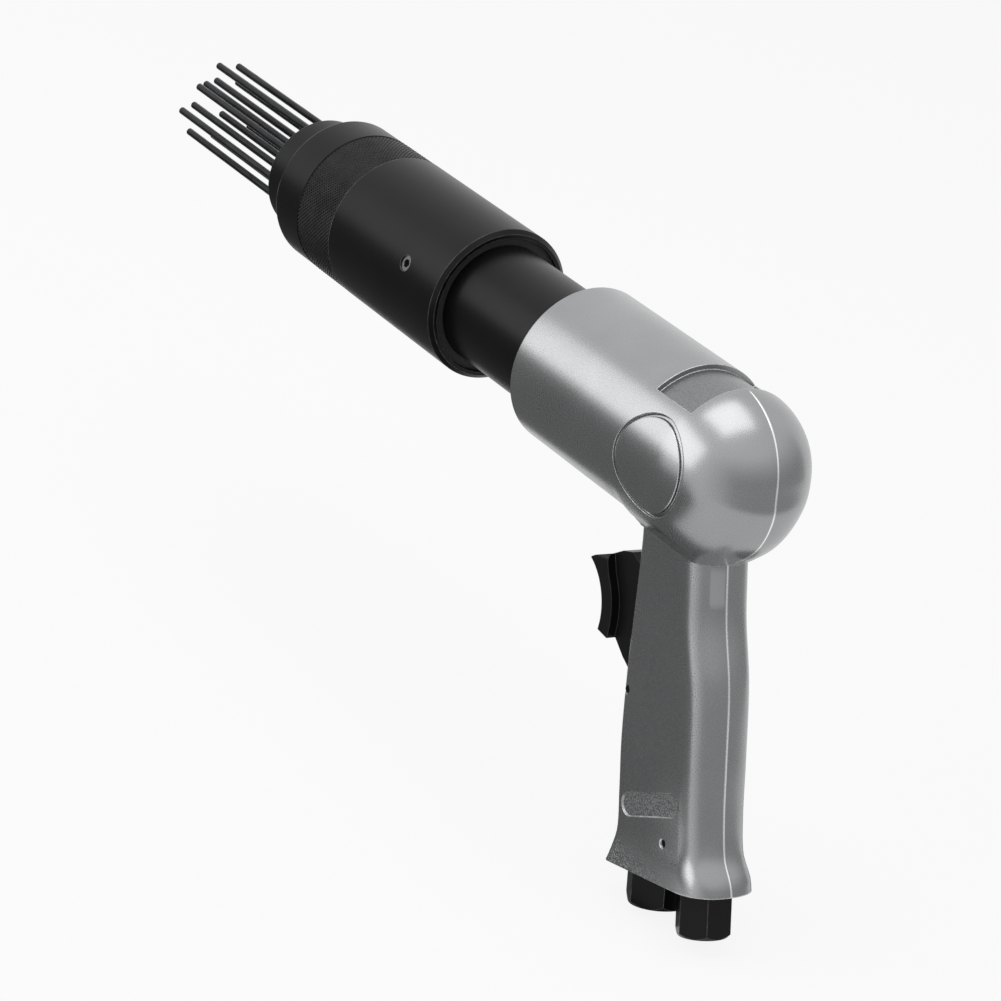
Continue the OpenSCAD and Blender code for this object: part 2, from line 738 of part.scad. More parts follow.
// Needle seated in the holder, slid back by its own share of the play
module needle(i) {
    head_x = plate_rear_x - slid_back[i];
    foot_x = head_x - head_l;
    tip_x = foot_x + needle_l;
    r = needle_d / 2;
    head_r = head_d / 2;
    bevel = 0.4;
    color("#5c5e63") at_needle(i) turned([
        [0, foot_x], [head_r - bevel, foot_x], [head_r, foot_x + bevel], [head_r, head_x - face_gap],
        [r, head_x - face_gap], [r, tip_x - bevel], [r - bevel, tip_x], [0, tip_x]
    ]);
}

// Cage that keeps the needle heads between its plate and the anvil
module needle_holder() {
    color("#6e7177") difference() {
        rod_x(holder_r, anvil_face_x + face_gap, plate_front_x);
        rod_x(cage_r, anvil_face_x, plate_rear_x);
        for (i = [0 : needle_count - 1]) at_needle(i)
            rod_x(needle_d / 2 + running, plate_rear_x - past, plate_front_x + past);
    }
}

module return_spring() {
    seat_x = -nozzle_shank_l;
    color("#a9acb2") translate([plate_front_x + face_gap, 0, 0]) rotate([0, 90, 0])
        coil(seat_x - plate_front_x - 2 * face_gap, return_r, return_wire, return_curls);
}

module front_sleeve() {
    r = ring_d / 2;
    bore_r = tube_d / 2 + running;
    rim = 1.6;
    wiper_x = sleeve_rear_x + wiper_recess;
    spigot_x = ring_rear_x - spigot_l;
    color("#2b2c30") difference() {
        turned([
            [bore_r, wiper_x], [wiper_r, wiper_x], [wiper_r, sleeve_rear_x],
            [r - rim, sleeve_rear_x], [r, sleeve_rear_x + rim], [r, ring_rear_x],
            [spigot_r + seated, ring_rear_x], [spigot_r + seated, spigot_x], [bore_r, spigot_x]
        ]);
        at_screw() cylinder(r = screw_d / 2 + seated / 2, h = r);
    }
}

// Frame of the set screw: z runs out through the sleeve's wall
module at_screw() {
    translate([sleeve_rear_x + screw_from_rim, 0, 0]) rotate([screw_angle - 90, 0, 0]) children();
}

module sleeve_screw() {
    tip_z = tube_d / 2 + running;
    sunk = 0.6;
    length = ring_d / 2 - tip_z - sunk;
    socket_r = screw_key / sqrt(3);
    color("#3a3b40") at_screw() translate([0, 0, tip_z]) difference() {
        cylinder(r = screw_d / 2, h = length);
        translate([0, 0, length - screw_key]) cylinder(r = socket_r, h = screw_key + past, $fn = 6);
    }
}

module sleeve_wiper() {
    front = sleeve_rear_x + wiper_recess;
    color("#141416") pipe_x(wiper_r - seated, tube_d / 2 + running, front - wiper_w, front);
}

module knurled_ring() {
    r = ring_d / 2;
    plain_r = r - 0.15;
    front_bevel = 1.25;
    band_x = ring_rear_x + knurl_l;
    thread_end_x = -nozzle_shank_l - 1;
    color("#2b2c30") turned([
        [ring_bore_r, ring_rear_x - spigot_l], [spigot_r, ring_rear_x - spigot_l], [spigot_r, ring_rear_x],
        [r - edge, ring_rear_x], [r, ring_rear_x + edge], [r, band_x - edge], [plain_r - edge, band_x],
        [plain_r, band_x + edge], [plain_r, -front_bevel], [plain_r - front_bevel, 0],
        [nozzle_shank_r + seated, 0], [nozzle_shank_r + seated, thread_end_x], [ring_bore_r, thread_end_x]
    ]);
}

module nozzle() {
    r = nozzle_d / 2;
    color("#303136") difference() {
        turned([
            [needle_room_r, -nozzle_shank_l], [nozzle_shank_r, -nozzle_shank_l], [nozzle_shank_r, 0], [r, 0],
            [r, nozzle_l - edge], [r - edge, nozzle_l], [0, nozzle_l], [0, nozzle_l - guide_plate_t],
            [needle_room_r, nozzle_l - guide_plate_t]
        ]);
        for (i = [0 : needle_count - 1]) at_needle(i)
            rod_x(needle_d / 2 + wide_room, nozzle_l - guide_plate_t - past, nozzle_l + past);
    }
}

// Points of an arc about a centre in the handle's side view
function arc(centre, r, from, to, steps) =
    [for (k = [0 : steps]) let (a = from + (to - from) * k / steps) centre + r * [cos(a), sin(a)]];

// Solid of a side view, centred across the handle
module side_plate(w) {
    rotate([90, 0, 0]) linear_extrude(w, center = true) children();
}

finger_centre = [55.5, -65];
pad_low_angle = 200;
boss_r = 3.3;

// Finger pad: hollow in front, with a hook at its top whose corners are round
pad_corner = 3;
pad_top = -44.4;
pad_foot = -80;
module finger_pad() {
    cut_x = 20;
    cut_l = 30;
    corner_z = pad_top - pad_corner;
    side = pad_w / 2 - pad_corner;
    outline = concat(
        arc(finger_centre, finger_r, 128, pad_low_angle, 12),
        arc(finger_centre, finger_r + pad_t, pad_low_angle, 152, 8),
        [[32.4, -44.6], [39.6, -46.4], [41.4, -47.2]]
    );
    intersection() {
        side_plate(pad_w) polygon(outline);
        translate([cut_x, 0, 0]) rotate([90, 0, 90]) linear_extrude(cut_l) {
            for (y = [-side, side]) translate([y, corner_z]) circle(r = pad_corner);
            translate([-pad_w / 2, pad_foot]) square([pad_w, corner_z - pad_foot]);
            translate([-side, pad_foot]) square([2 * side, pad_top - pad_foot + pad_corner]);
        }
    }
}

// Web that joins the finger pad to the pivot
module trigger_web() {
    pivot = [trigger_pin_front, -trigger_pin_down];
    outline = concat(
        [[33.4, -44.8], [27.6, -42.6], [22, -42], [15.6, -46.4], [9.8, -49.5], [7.7, -60], [7.7, -64]],
        arc(pivot, boss_r, 180, 300, 6),
        [[23.4, -80.2], [28.8, -74.2], [30.5, -64], [32, -54]]
    );
    side_plate(web_w) polygon(outline);
}

module trigger() {
    color("#151517") difference() {
        at_handle() {
            finger_pad();
            trigger_web();
        }
        cross_pin(pin_d / 2 + running, handle_w, trigger_pin_front, trigger_pin_down);
    }
}

cross_pin_l = handle_w - 1.6;
module trigger_pin() {
    color("#9fa2a8") cross_pin(pin_d / 2, cross_pin_l, trigger_pin_front, trigger_pin_down);
}

module bushing_pin() {
    color("#9fa2a8") cross_pin(pin_d / 2, cross_pin_l, -bushing_pin_back, bushing_pin_down);
}

// The throttle stem's distance behind the handle's axis at the push pin's height
stem_back = inlet_back - (handle_l - push_pin_down) * tan(inlet_lean);
push_bush_wall = 1.2;
push_bush_r = push_pin_d / 2 + push_bush_wall;
push_bush_l = pocket_back + stem_back - passage_r;
web_rear = 7.7;
web_gap = 0.2;
stem_gap = 0.3;

module push_pin() {
    r = push_pin_d / 2;
    front = web_rear - web_gap - r;
    rear = -stem_back + stem_d / 2 + stem_gap + r;
    color("#c6c8cc") at_handle() translate([0, 0, -push_pin_down]) {
        translate([rear, 0, 0]) rotate([0, 90, 0]) cylinder(r = r, h = front - rear);
        translate([rear, 0, 0]) sphere(r = r);
        translate([front, 0, 0]) sphere(r = r);
    }
}

module push_pin_bush() {
    color("#b08d4a") at_handle() translate([pocket_back, 0, -push_pin_down]) rotate([0, -90, 0])
        difference() {
            cylinder(r = push_bush_r - seated, h = push_bush_l - wide_room);
            translate([0, 0, -past]) cylinder(r = push_pin_d / 2 + running, h = push_bush_l + 2 * past);
        }
}

seat_t = 4;
seat_hole_r = 3.6;
module throttle_seat() {
    color("#b08d4a") at_inlet() translate([0, 0, seat_up]) difference() {
        cylinder(r = seat_d / 2 - seated, h = seat_t - running);
        translate([0, 0, -past]) cylinder(r = seat_hole_r, h = seat_t + 2 * past);
    }
}

throttle_disc_t = 2;
module throttle_valve() {
    disc_low = seat_up - face_gap - throttle_disc_t;
    color("#a5803c") at_inlet() {
        translate([0, 0, disc_low]) cylinder(r = throttle_disc_d / 2, h = throttle_disc_t);
        translate([0, 0, disc_low]) cylinder(r = stem_d / 2, h = stem_up - disc_low);
    }
}

module throttle_spring() {
    foot = inlet_shank_l + face_gap;
    top = seat_up - throttle_disc_t - 2 * face_gap;
    mean_r = throttle_disc_d / 2 - throttle_wire / 2 - spring_room / 2;
    color("#a9acb2") at_inlet() translate([0, 0, foot])
        coil(top - foot, mean_r, throttle_wire, throttle_curls);
}

bushing_mouth = base_seat - seal_t - inlet_hex_l;
screen_t = 1.2;
screen_r = inlet_bore / 2 - edge;
module inlet_bushing() {
    hex_top = base_seat - seal_t;
    hex_bevel = 1.6;
    air_bore_r = 4.5;
    color("#1d1d20") at_inlet() difference() {
        union() {
            translate([0, 0, hex_top]) hex_head(inlet_key, inlet_hex_l, hex_bevel);
            translate([0, 0, hex_top - past])
                cylinder(r = inlet_shank_d / 2, h = inlet_shank_l - hex_top + past);
        }
        translate([0, 0, bushing_mouth - past]) cylinder(r = inlet_bore / 2, h = inlet_thread_l + past);
        translate([0, 0, bushing_mouth]) cylinder(r = screen_r + seated, h = inlet_thread_l + screen_t);
        translate([0, 0, bushing_mouth]) cylinder(r = air_bore_r, h = inlet_shank_l + inlet_hex_l + 2 * past);
        translate([0, 0, bushing_pin_z - neck_groove_half]) difference() {
            cylinder(r = inlet_shank_d / 2 + past, h = 2 * neck_groove_half);
            translate([0, 0, -past]) cylinder(r = neck_groove_r, h = 2 * (neck_groove_half + past));
        }
    }
}

module inlet_screen() {
    hole_r = 0.6;
    pitch = 2;
    rim = 1;
    color("#b9bcc2") at_inlet() translate([0, 0, bushing_mouth + inlet_thread_l]) difference() {
        cylinder(r = screen_r, h = screen_t);
        for (x = [-2 : 2]) for (y = [-2 : 2])
            if (norm([x, y]) * pitch < screen_r - rim)
                translate([x * pitch, y * pitch, -past]) cylinder(r = hole_r, h = screen_t + 2 * past);
    }
}

module inlet_seal() {
    color("#141416") at_inlet() translate([0, 0, base_seat - seal_t]) difference() {
        cylinder(r = inlet_key / 2, h = seal_t);
        translate([0, 0, -past]) cylinder(r = inlet_shank_d / 2 + seated, h = seal_t + 2 * past);
    }
}

silencer_t = 5;
lip_t = 2;
exhaust_bore_r = exhaust_outlet_d / 2 + 1.5;
module exhaust_cap() {
    hex_bevel = 1.8;
    end_room = 0.5;
    whole_l = exhaust_hex_l + exhaust_shank_l;
    color("#1d1d20") at_exhaust() difference() {
        union() {
            hex_head(exhaust_key, exhaust_hex_l, hex_bevel);
            translate([0, 0, -past]) cylinder(r = exhaust_shank_d / 2, h = exhaust_shank_l - end_room + past);
        }
        translate([0, 0, -exhaust_hex_l - past]) cylinder(r = exhaust_outlet_d / 2, h = whole_l + past);
        translate([0, 0, lip_t - exhaust_hex_l]) cylinder(r = exhaust_bore_r, h = whole_l);
    }
}

module silencer_disc() {
    color("#8f7b52") at_exhaust() translate([0, 0, lip_t - exhaust_hex_l])
        cylinder(r = exhaust_bore_r - seated, h = silencer_t);
}

housing();
barrel_tube();
tube_seal();
cylinder_liner();  // cylinder
valve_chest();
valve_disc();
valve_cap();
valve_dowel();
wave_washer();
piston();
anvil();
anvil_bush();
anvil_buffer();
needle_holder();
return_spring();
needle(0);  // needle_01
needle(1);  // needle_02
needle(2);  // needle_03
needle(3);  // needle_04
needle(4);  // needle_05
needle(5);  // needle_06
needle(6);  // needle_07
needle(7);  // needle_08
needle(8);  // needle_09
needle(9);  // needle_10
needle(10);  // needle_11
needle(11);  // needle_12
front_sleeve();
sleeve_wiper();
sleeve_screw();
knurled_ring();
nozzle();
trigger();
trigger_pin();
push_pin();
push_pin_bush();
throttle_valve();
throttle_seat();
throttle_spring();
inlet_bushing();
inlet_screen();
inlet_seal();
bushing_pin();
exhaust_cap();
silencer_disc();
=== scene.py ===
"""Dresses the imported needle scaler: models its cast housing, trigger, knurled ring and
return spring, and finishes every piece."""
import math

import bmesh
import bpy
from bpy.props import FloatProperty, FloatVectorProperty, IntProperty, PointerProperty
from mathutils import Matrix, Vector


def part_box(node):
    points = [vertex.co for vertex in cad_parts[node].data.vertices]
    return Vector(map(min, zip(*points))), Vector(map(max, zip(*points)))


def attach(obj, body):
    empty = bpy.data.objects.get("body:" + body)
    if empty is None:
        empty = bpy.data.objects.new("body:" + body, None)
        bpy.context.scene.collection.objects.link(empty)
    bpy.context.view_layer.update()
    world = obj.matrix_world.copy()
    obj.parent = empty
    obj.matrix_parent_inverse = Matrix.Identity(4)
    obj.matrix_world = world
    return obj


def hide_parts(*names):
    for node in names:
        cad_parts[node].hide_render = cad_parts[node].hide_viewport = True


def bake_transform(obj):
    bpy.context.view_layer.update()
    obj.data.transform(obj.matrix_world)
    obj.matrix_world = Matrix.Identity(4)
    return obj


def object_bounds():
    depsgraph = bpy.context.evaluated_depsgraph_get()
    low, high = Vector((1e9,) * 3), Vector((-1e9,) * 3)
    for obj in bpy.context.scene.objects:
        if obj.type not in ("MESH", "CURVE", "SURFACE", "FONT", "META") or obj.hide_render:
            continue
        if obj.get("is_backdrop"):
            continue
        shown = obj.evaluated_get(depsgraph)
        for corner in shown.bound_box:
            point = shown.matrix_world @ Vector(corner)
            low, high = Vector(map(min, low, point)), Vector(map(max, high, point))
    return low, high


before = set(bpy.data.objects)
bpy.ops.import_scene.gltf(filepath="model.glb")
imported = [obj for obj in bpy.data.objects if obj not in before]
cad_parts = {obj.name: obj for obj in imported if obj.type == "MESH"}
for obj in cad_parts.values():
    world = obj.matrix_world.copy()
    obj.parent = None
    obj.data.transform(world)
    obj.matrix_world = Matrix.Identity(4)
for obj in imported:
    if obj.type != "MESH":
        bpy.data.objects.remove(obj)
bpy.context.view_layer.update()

bl_info = {
    "name": "Needle Scaler",
    "version": (1, 0, 0),
    "blender": (4, 5, 0),
    "location": "3D View > Sidebar > Needle Scaler",
    "description": "Models and finishes an air needle scaler on its packed frame",
    "category": "Object",
}

MM = 0.001

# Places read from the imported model
BARREL_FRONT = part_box("housing")[1][0]
BARREL_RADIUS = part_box("housing")[1][1]
RING_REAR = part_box("knurled_ring")[0][0]

# Nodes that share one finish
BLACK_TURNED = ["barrel_tube", "front_sleeve", "nozzle"]
BLACK_SCREWED = ["inlet_bushing", "exhaust_cap", "trigger_pin", "bushing_pin"]
WORN_STEEL = ["sleeve_screw"]
GROUND_STEEL = [
    "cylinder", "valve_chest", "valve_disc", "valve_cap", "piston", "anvil", "needle_holder",
    "valve_dowel", "push_pin", "inlet_screen",
]
SPRING_STEEL = ["throttle_spring", "wave_washer"]
BRONZE = ["anvil_bush", "push_pin_bush", "throttle_seat", "throttle_valve", "silencer_disc"]
RUBBER = ["tube_seal", "anvil_buffer", "sleeve_wiper", "inlet_seal"]
NEEDLES = ["needle_%02d" % number for number in range(1, 13)]


# Settings

def length(name, default, description):
    """A length setting, given in millimetres."""
    return FloatProperty(name=name, default=default * MM, unit="LENGTH", description=description)


def rotation(name, default, description):
    """An angle setting, given in degrees."""
    return FloatProperty(name=name, default=math.radians(default), unit="ROTATION", description=description)


def brightness(name, default, description):
    """A light setting, where 1 is white."""
    return FloatProperty(name=name, default=default, min=0, description=description)


def tint(name, default, description):
    """A colour setting."""
    return FloatVectorProperty(name=name, subtype="COLOR", size=3, min=0, max=1, default=default,
                               description=description)


class ScalerHousing(bpy.types.PropertyGroup):
    """Sizes of the cast housing"""
    barrel_length: length("Barrel length", 88, "From the front rim to the centre of the ball end")
    rim_round: length("Rim round", 0.5, "Rounding of the front rim")
    axis_from_rim: length("Handle place", 70, "From the front rim to the handle's axis")
    rake: rotation("Rake", 14, "Lean of the handle's axis")
    handle_length: length("Handle length", 150.5, "From the barrel axis to the base")
    handle_width: length("Handle width", 26, "Width of the grip in its middle")
    pocket_depth: length("Pocket depth", 2, "Depth of the bare label pocket on top")
    groove_width: length("Groove width", 1.4, "Width of the round groove on the left side")
    groove_depth: length("Groove depth", 1, "Depth of the round groove on the left side")
    around: IntProperty(name="Points around", default=200, min=48, description="Points round the barrel")


class ScalerRing(bpy.types.PropertyGroup):
    """Sizes of the knurled ring"""
    knurl_pitch: length("Knurl pitch", 1.7, "Distance between the points of the knurl")
    knurl_depth: length("Knurl depth", 0.5, "Height of the points of the knurl")
    knurl_length: length("Knurl length", 24.6, "Length of the knurled band")


class ScalerTrigger(bpy.types.PropertyGroup):
    """Sizes of the trigger"""
    pad_width: length("Pad width", 17, "Width of the finger pad")
    web_width: length("Web width", 10, "Width of the web behind the pad")
    edge_round: length("Edge round", 0.9, "Rounding of the moulded edges")


class ScalerFinish(bpy.types.PropertyGroup):
    """Colours of the pieces"""
    casting: tint("Casting", (0.36, 0.365, 0.37), "Cast aluminium of the housing")
    black_steel: tint("Black steel", (0.004, 0.004, 0.0044), "Black oxide on tube, sleeve and ring")
    needle_steel: tint("Needle steel", (0.03, 0.031, 0.034), "Dark steel of the needles")
    plastic: tint("Plastic", (0.006, 0.006, 0.0065), "Moulded trigger")


class ScalerStage(bpy.types.PropertyGroup):
    """Camera and light"""
    azimuth: rotation("Azimuth", 232.687, "Where the camera stands round the tool")
    elevation: rotation("Elevation", 21.971, "Camera's angle above the horizon")
    roll: rotation("Roll", 12.719, "Turn of the camera about its own axis")
    distance: length("Distance", 1266.4, "From the camera to the point it looks at")
    lens: FloatProperty(name="Lens", default=121.417, min=20, max=300,
                        description="Focal length in millimetres on a 36 mm sensor")
    look_at: FloatVectorProperty(name="Look at", subtype="XYZ", unit="LENGTH", size=3,
                                 default=(-147.85 * MM, 0, -67.64 * MM),
                                 description="Point the camera looks at")
    key_level: brightness("Key light", 1.65, "Brightness of the light on the left, where 1 is white")
    top_level: brightness("Top light", 1.7, "Brightness of the light above, where 1 is white")
    world_level: brightness("World light", 0.45,
                            "Brightness of the light from all round, where 1 is white")
    floor_radius: length("Floor radius", 6000, "Radius of the pale floor")


# Modelling helpers

def add_object(name, add, **settings):
    """Adds an object by one of Blender's operators, with nothing else selected."""
    bpy.ops.object.select_all(action="DESELECT")
    add(**settings)
    bpy.context.object.name = name
    return bpy.context.object


def select_only(piece):
    """Makes one object the selected and active one."""
    bpy.ops.object.select_all(action="DESELECT")
    piece.select_set(True)
    bpy.context.view_layer.objects.active = piece


def apply_modifier(piece, kind, **settings):
    """Adds a modifier with its settings and applies it."""
    modifier = piece.modifiers.new(kind, kind)
    for name, value in settings.items():
        setattr(modifier, name, value)
    select_only(piece)
    bpy.ops.object.modifier_apply(modifier=modifier.name)


def extrude_rings(name, rings, ends="capped"):
    """Draws a ring of points and extrudes it from place to place.

    ends is capped for a closed solid, pointed where the last ring closes to a pole, joined for a hollow
    one whose last ring meets the first."""
    fill = "NOTHING" if ends == "joined" else "NGON"
    piece = add_object(name, bpy.ops.mesh.primitive_circle_add, vertices=len(rings[0]), fill_type=fill,
                       enter_editmode=True)
    mesh = bmesh.from_edit_mesh(piece.data)
    place = mesh.verts.layers.int.new("place")
    for number, vertex in enumerate(mesh.verts):
        vertex[place] = number
        vertex.co = rings[0][number]
    bmesh.update_edit_mesh(piece.data)
    for ring in rings[1:]:
        bpy.ops.mesh.extrude_region_move()
        mesh = bmesh.from_edit_mesh(piece.data)
        place = mesh.verts.layers.int["place"]
        for vertex in mesh.verts:
            if vertex.select:
                vertex.co = ring[vertex[place]]
        bmesh.update_edit_mesh(piece.data)
    if ends == "pointed":
        bpy.ops.mesh.merge(type="CENTER")
    if ends == "joined":
        bpy.ops.mesh.select_all(action="DESELECT")
        bpy.ops.mesh.select_non_manifold()
        bpy.ops.mesh.bridge_edge_loops()
    bpy.ops.mesh.select_all(action="SELECT")
    bpy.ops.mesh.normals_make_consistent(inside=False)
    bpy.ops.object.mode_set(mode="OBJECT")
    return piece


def circle_points(radius, count):
    """Points of a circle about the origin."""
    return [(radius * math.cos(math.tau * k / count), radius * math.sin(math.tau * k / count))
            for k in range(count)]


def arc_points(centre, radius, start, end, steps):
    """Points of an arc, with its angles in degrees."""
    return [(centre[0] + radius * math.cos(math.radians(start + (end - start) * k / steps)),
             centre[1] + radius * math.sin(math.radians(start + (end - start) * k / steps)))
            for k in range(steps + 1)]


def turned(name, profile, count, ends="capped"):
    """Solid turned about the barrel axis from (x, radius) points."""
    rings = [[Vector((x, y, z)) for y, z in circle_points(radius, count)] for x, radius in profile]
    return extrude_rings(name, rings, ends)


def combine(piece, tool, operation="DIFFERENCE"):
    """Cuts a piece with a tool, or joins them, and throws the tool away."""
    apply_modifier(piece, "BOOLEAN", operation=operation, solver="EXACT", object=tool)
    bpy.data.objects.remove(tool)


def smooth_edges(piece, angle):
    """Smooth shading up to an angle, with flat faces kept flat."""
    select_only(piece)
    bpy.ops.object.shade_smooth_by_angle(angle=math.radians(angle))
    apply_modifier(piece, "WEIGHTED_NORMAL", keep_sharp=True)


def drill(piece, centre, direction, radius, depth):
    """Drills a round hole from a point along a direction."""
    direction = Vector(direction).normalized()
    turn = direction.to_track_quat("Z", "Y").to_euler()
    tool = add_object("drill", bpy.ops.mesh.primitive_cylinder_add, vertices=64, radius=radius,
                      depth=depth, rotation=turn, location=Vector(centre) + direction * depth / 2)
    combine(piece, tool)


def countersink(piece, centre, across, radius, chamfer):
    """Chamfers the end of a hole that runs across the handle."""
    side = math.copysign(1, across)
    tool = add_object("countersink", bpy.ops.mesh.primitive_cone_add, vertices=64, radius1=radius,
                      radius2=radius + chamfer, depth=chamfer, rotation=(-math.pi / 2 * side, 0, 0),
                      location=Vector((centre.x, across - side * chamfer / 2, centre.z)))
    combine(piece, tool)


def finish_faces(piece, material, wanted):
    """Gives a material of their own to the faces whose corners all pass a test."""
    piece.data.materials.append(material)
    corners = piece.data.vertices
    for face in piece.data.polygons:
        if all(wanted(corners[corner].co) for corner in face.vertices):
            face.material_index = len(piece.data.materials) - 1


# The housing's form

# Share of the handle's length up from the base, then how much the front, the back, the depth
# of the round back and the half width stand out from the middle section's, in millimetres
HANDLE_STATIONS = [
    (0.000, 0.6, 9.6, 6.0, 2.2),
    (0.030, -0.9, 8.4, 4.2, 1.5),
    (0.080, -2.0, 4.2, 2.2, 0.2),
    (0.170, -1.2, 1.8, 0.9, 0.0),
    (0.300, 0.0, 0.4, 0.0, 0.0),
    (0.480, -0.5, -1.6, 0.0, 0.0),
    (0.620, -1.8, -5.9, 0.0, 0.0),
    (0.735, -2.9, -7.6, 0.0, 0.0),
    (0.790, -3.4, -8.2, 0.4, 0.2),
    (0.850, -3.8, -8.4, 0.8, 0.8),
]
# Height from the barrel axis, then how far the collar under the ball end reaches behind the
# ball's centre, where its round back starts, half its width and how far it reaches in front,
# in millimetres, and the power of its round back
COLLAR_STATIONS = [
    (-29.6, 16.2, 8.4, 13.7, 19.6, 0.84),
    (-27.0, 19.4, 7.6, 16.0, 22.0, 0.88),
    (-22.0, 24.8, 4.0, 20.8, 24.0, 0.93),
    (-16.0, 29.2, 1.2, 24.8, 24.0, 0.98),
    (-9.0, 31.6, 0.0, 27.8, 24.0, 1.00),
    (-2.0, 31.8, 0.0, 29.0, 24.0, 1.00),
    (6.0, 28.0, 0.0, 28.0, 24.0, 1.00),
]
COLLAR_LOW = COLLAR_STATIONS[0][0]
COLLAR_HIGH = COLLAR_STATIONS[-1][0]
COLLAR_FRONT = max(row[4] for row in COLLAR_STATIONS)
# How far the collar goes on below its lowest station before it is cut level, and how wide the
# soft change between it and the ball is
COLLAR_BELOW = 4
COLLAR_BLEND = 2
# The handle's middle section: how far its front and back lie from its axis, the depth of its
# round back, the rounding of its front edges and how full the round back is
MIDDLE_FRONT = 12.4 * MM
MIDDLE_BACK = 33.2 * MM
ROUND_BACK = 8 * MM
FRONT_EDGE = 4 * MM
FULLNESS = 0.84
# The main bore's steps: distance behind the front rim and radius, in millimetres
BORE_STEPS = [(-1, 25.6), (2.2, 25.6), (2.2, 23.65), (24, 23.65), (24, 19.55), (88.1, 19.55),
              (88.1, 14), (104.1, 14)]
# Places in the handle's frame, forward and up, in millimetres
TRIGGER_PIVOT = (9.2, -88)
BUSHING_PIN = (-18.8, -136.5)
TAG_RECESS = (-9.6, -125)
# Depth of the oblong recess, and radius of the holes for the two pins
TAG_DEPTH = 0.6 * MM
PIN_HOLE = 1.525 * MM


def station_value(rows, column, place):
    """One column of a table of stations, on a smooth curve through its rows."""
    low = max(k for k in range(len(rows) - 1) if rows[k][0] <= place)
    span = rows[low + 1][0] - rows[low][0]
    u = (place - rows[low][0]) / span

    def slope(k):
        before, after = rows[max(k - 1, 0)], rows[min(k + 1, len(rows) - 1)]
        return (after[column] - before[column]) / (after[0] - before[0])

    start = rows[low][column] * (1 + 2 * u) * (1 - u) ** 2 + slope(low) * span * u * (1 - u) ** 2
    end = rows[low + 1][column] * u * u * (3 - 2 * u) + slope(low + 1) * span * u * u * (u - 1)
    return start + end


def fuller(value):
    """Side of the round back, fuller than an ellipse."""
    return math.copysign(abs(value) ** FULLNESS, value)


def in_handle(sizes, forward, across, up):
    """A point of the handle's frame, whose up runs along the handle, in the frame of the tool."""
    turn = Matrix.Rotation(sizes.rake, 3, "Y")
    return Vector((BARREL_FRONT - sizes.axis_from_rim, 0, 0)) + turn @ Vector((forward, across, up))


def side_solid(name, sizes, outline, width):
    """Solid of an outline in the handle's side view, in millimetres, centred across the handle."""
    rings = [[in_handle(sizes, forward * MM, across, up * MM) for forward, up in outline]
             for across in (-width / 2, width / 2)]
    return extrude_rings(name, rings)


def handle_section(sizes, share):
    """One section of the handle as a ring of points."""
    stands_out = [station_value(HANDLE_STATIONS, column, share) * MM for column in range(1, 5)]
    front = MIDDLE_FRONT + stands_out[0]
    back = MIDDLE_BACK + stands_out[1]
    depth = ROUND_BACK + stands_out[2]
    half = sizes.handle_width / 2 + stands_out[3]
    up = sizes.handle_length * (share - 1)
    back_steps, edge_steps = 32, 8
    outline = []
    for step in range(back_steps + 1):
        angle = math.pi * (0.5 + step / back_steps)
        outline.append((depth - back + depth * fuller(math.cos(angle)), half * fuller(math.sin(angle))))
    for side in (-1, 1):
        for step in range(edge_steps + 1):
            angle = math.pi / 2 * (step / edge_steps + (side - 1) / 2)
            outline.append((front - FRONT_EDGE * (1 - math.cos(angle)),
                            side * (half - FRONT_EDGE * (1 - side * math.sin(angle)))))
    return [in_handle(sizes, forward, across, up) for forward, across in outline]


def barrel_solid(sizes, margin=0.0):
    """Barrel and ball end with a rounded front rim, with closer rings where the collar is."""
    centre = BARREL_FRONT - sizes.barrel_length
    collar_front = centre + 30 * MM
    radius = BARREL_RADIUS - margin
    rim = sizes.rim_round
    profile = arc_points((BARREL_FRONT - rim, radius - rim), rim, 0, 90, 4)
    for start, end, steps in ((BARREL_FRONT, collar_front, 8), (collar_front, centre, 15)):
        profile += [(start + (end - start) * k / steps, radius) for k in range(1, steps + 1)]
    profile += arc_points((centre, 0), radius, 90, 180, 50)[1:]
    return turned("barrel", profile, sizes.around, "pointed")


def in_collar(offset):
    """True for a point inside the collar, given from the ball's centre in millimetres."""
    if not COLLAR_LOW - COLLAR_BELOW < offset.z < COLLAR_HIGH:
        return False
    height = max(offset.z, COLLAR_LOW)
    rear, start, half, front, power = (station_value(COLLAR_STATIONS, column, height)
                                       for column in range(1, 6))
    back = max(-offset.x - start, 0) / (rear - start)
    side = abs(offset.y) / half
    return offset.x < front and back ** (2 / power) + side ** (2 / power) < 1


def collar_reach(root, ray):
    """How far the collar reaches from a point inside it along a ray, in millimetres."""
    inside, outside = 0, 44
    for _ in range(16):
        middle = (inside + outside) / 2
        if in_collar(root + ray * middle):
            inside = middle
        else:
            outside = middle
    return inside


def swell_to_collar(piece, sizes):
    """Moves the underside of barrel and ball end out to the collar, with a soft change between them."""
    centre = Vector((BARREL_FRONT - sizes.barrel_length, 0, 0))
    for vertex in piece.data.vertices:
        offset = (vertex.co - centre) / MM
        if offset.z > COLLAR_HIGH or offset.x > COLLAR_FRONT:
            continue
        root = Vector((max(offset.x, 0), 0, 0))
        ray = offset - root
        own_reach = ray.length
        ray.normalize()
        reach = collar_reach(root, ray)
        near = max(COLLAR_BLEND - abs(own_reach - reach), 0)
        vertex.co = centre + (root + ray * (max(own_reach, reach) + near ** 2 / (4 * COLLAR_BLEND))) * MM


def cut_neck(piece, sizes):
    """Cuts the collar's underside level, where the handle starts."""
    centre = BARREL_FRONT - sizes.barrel_length
    half = 40 * MM
    rear, front = centre - half, centre + 20 * MM
    rings = [[Vector((x, y, up)) for x, y in ((rear, -half), (front, -half), (front, half), (rear, half))]
             for up in (COLLAR_LOW * MM, -60 * MM)]
    combine(piece, extrude_rings("under_collar", rings))


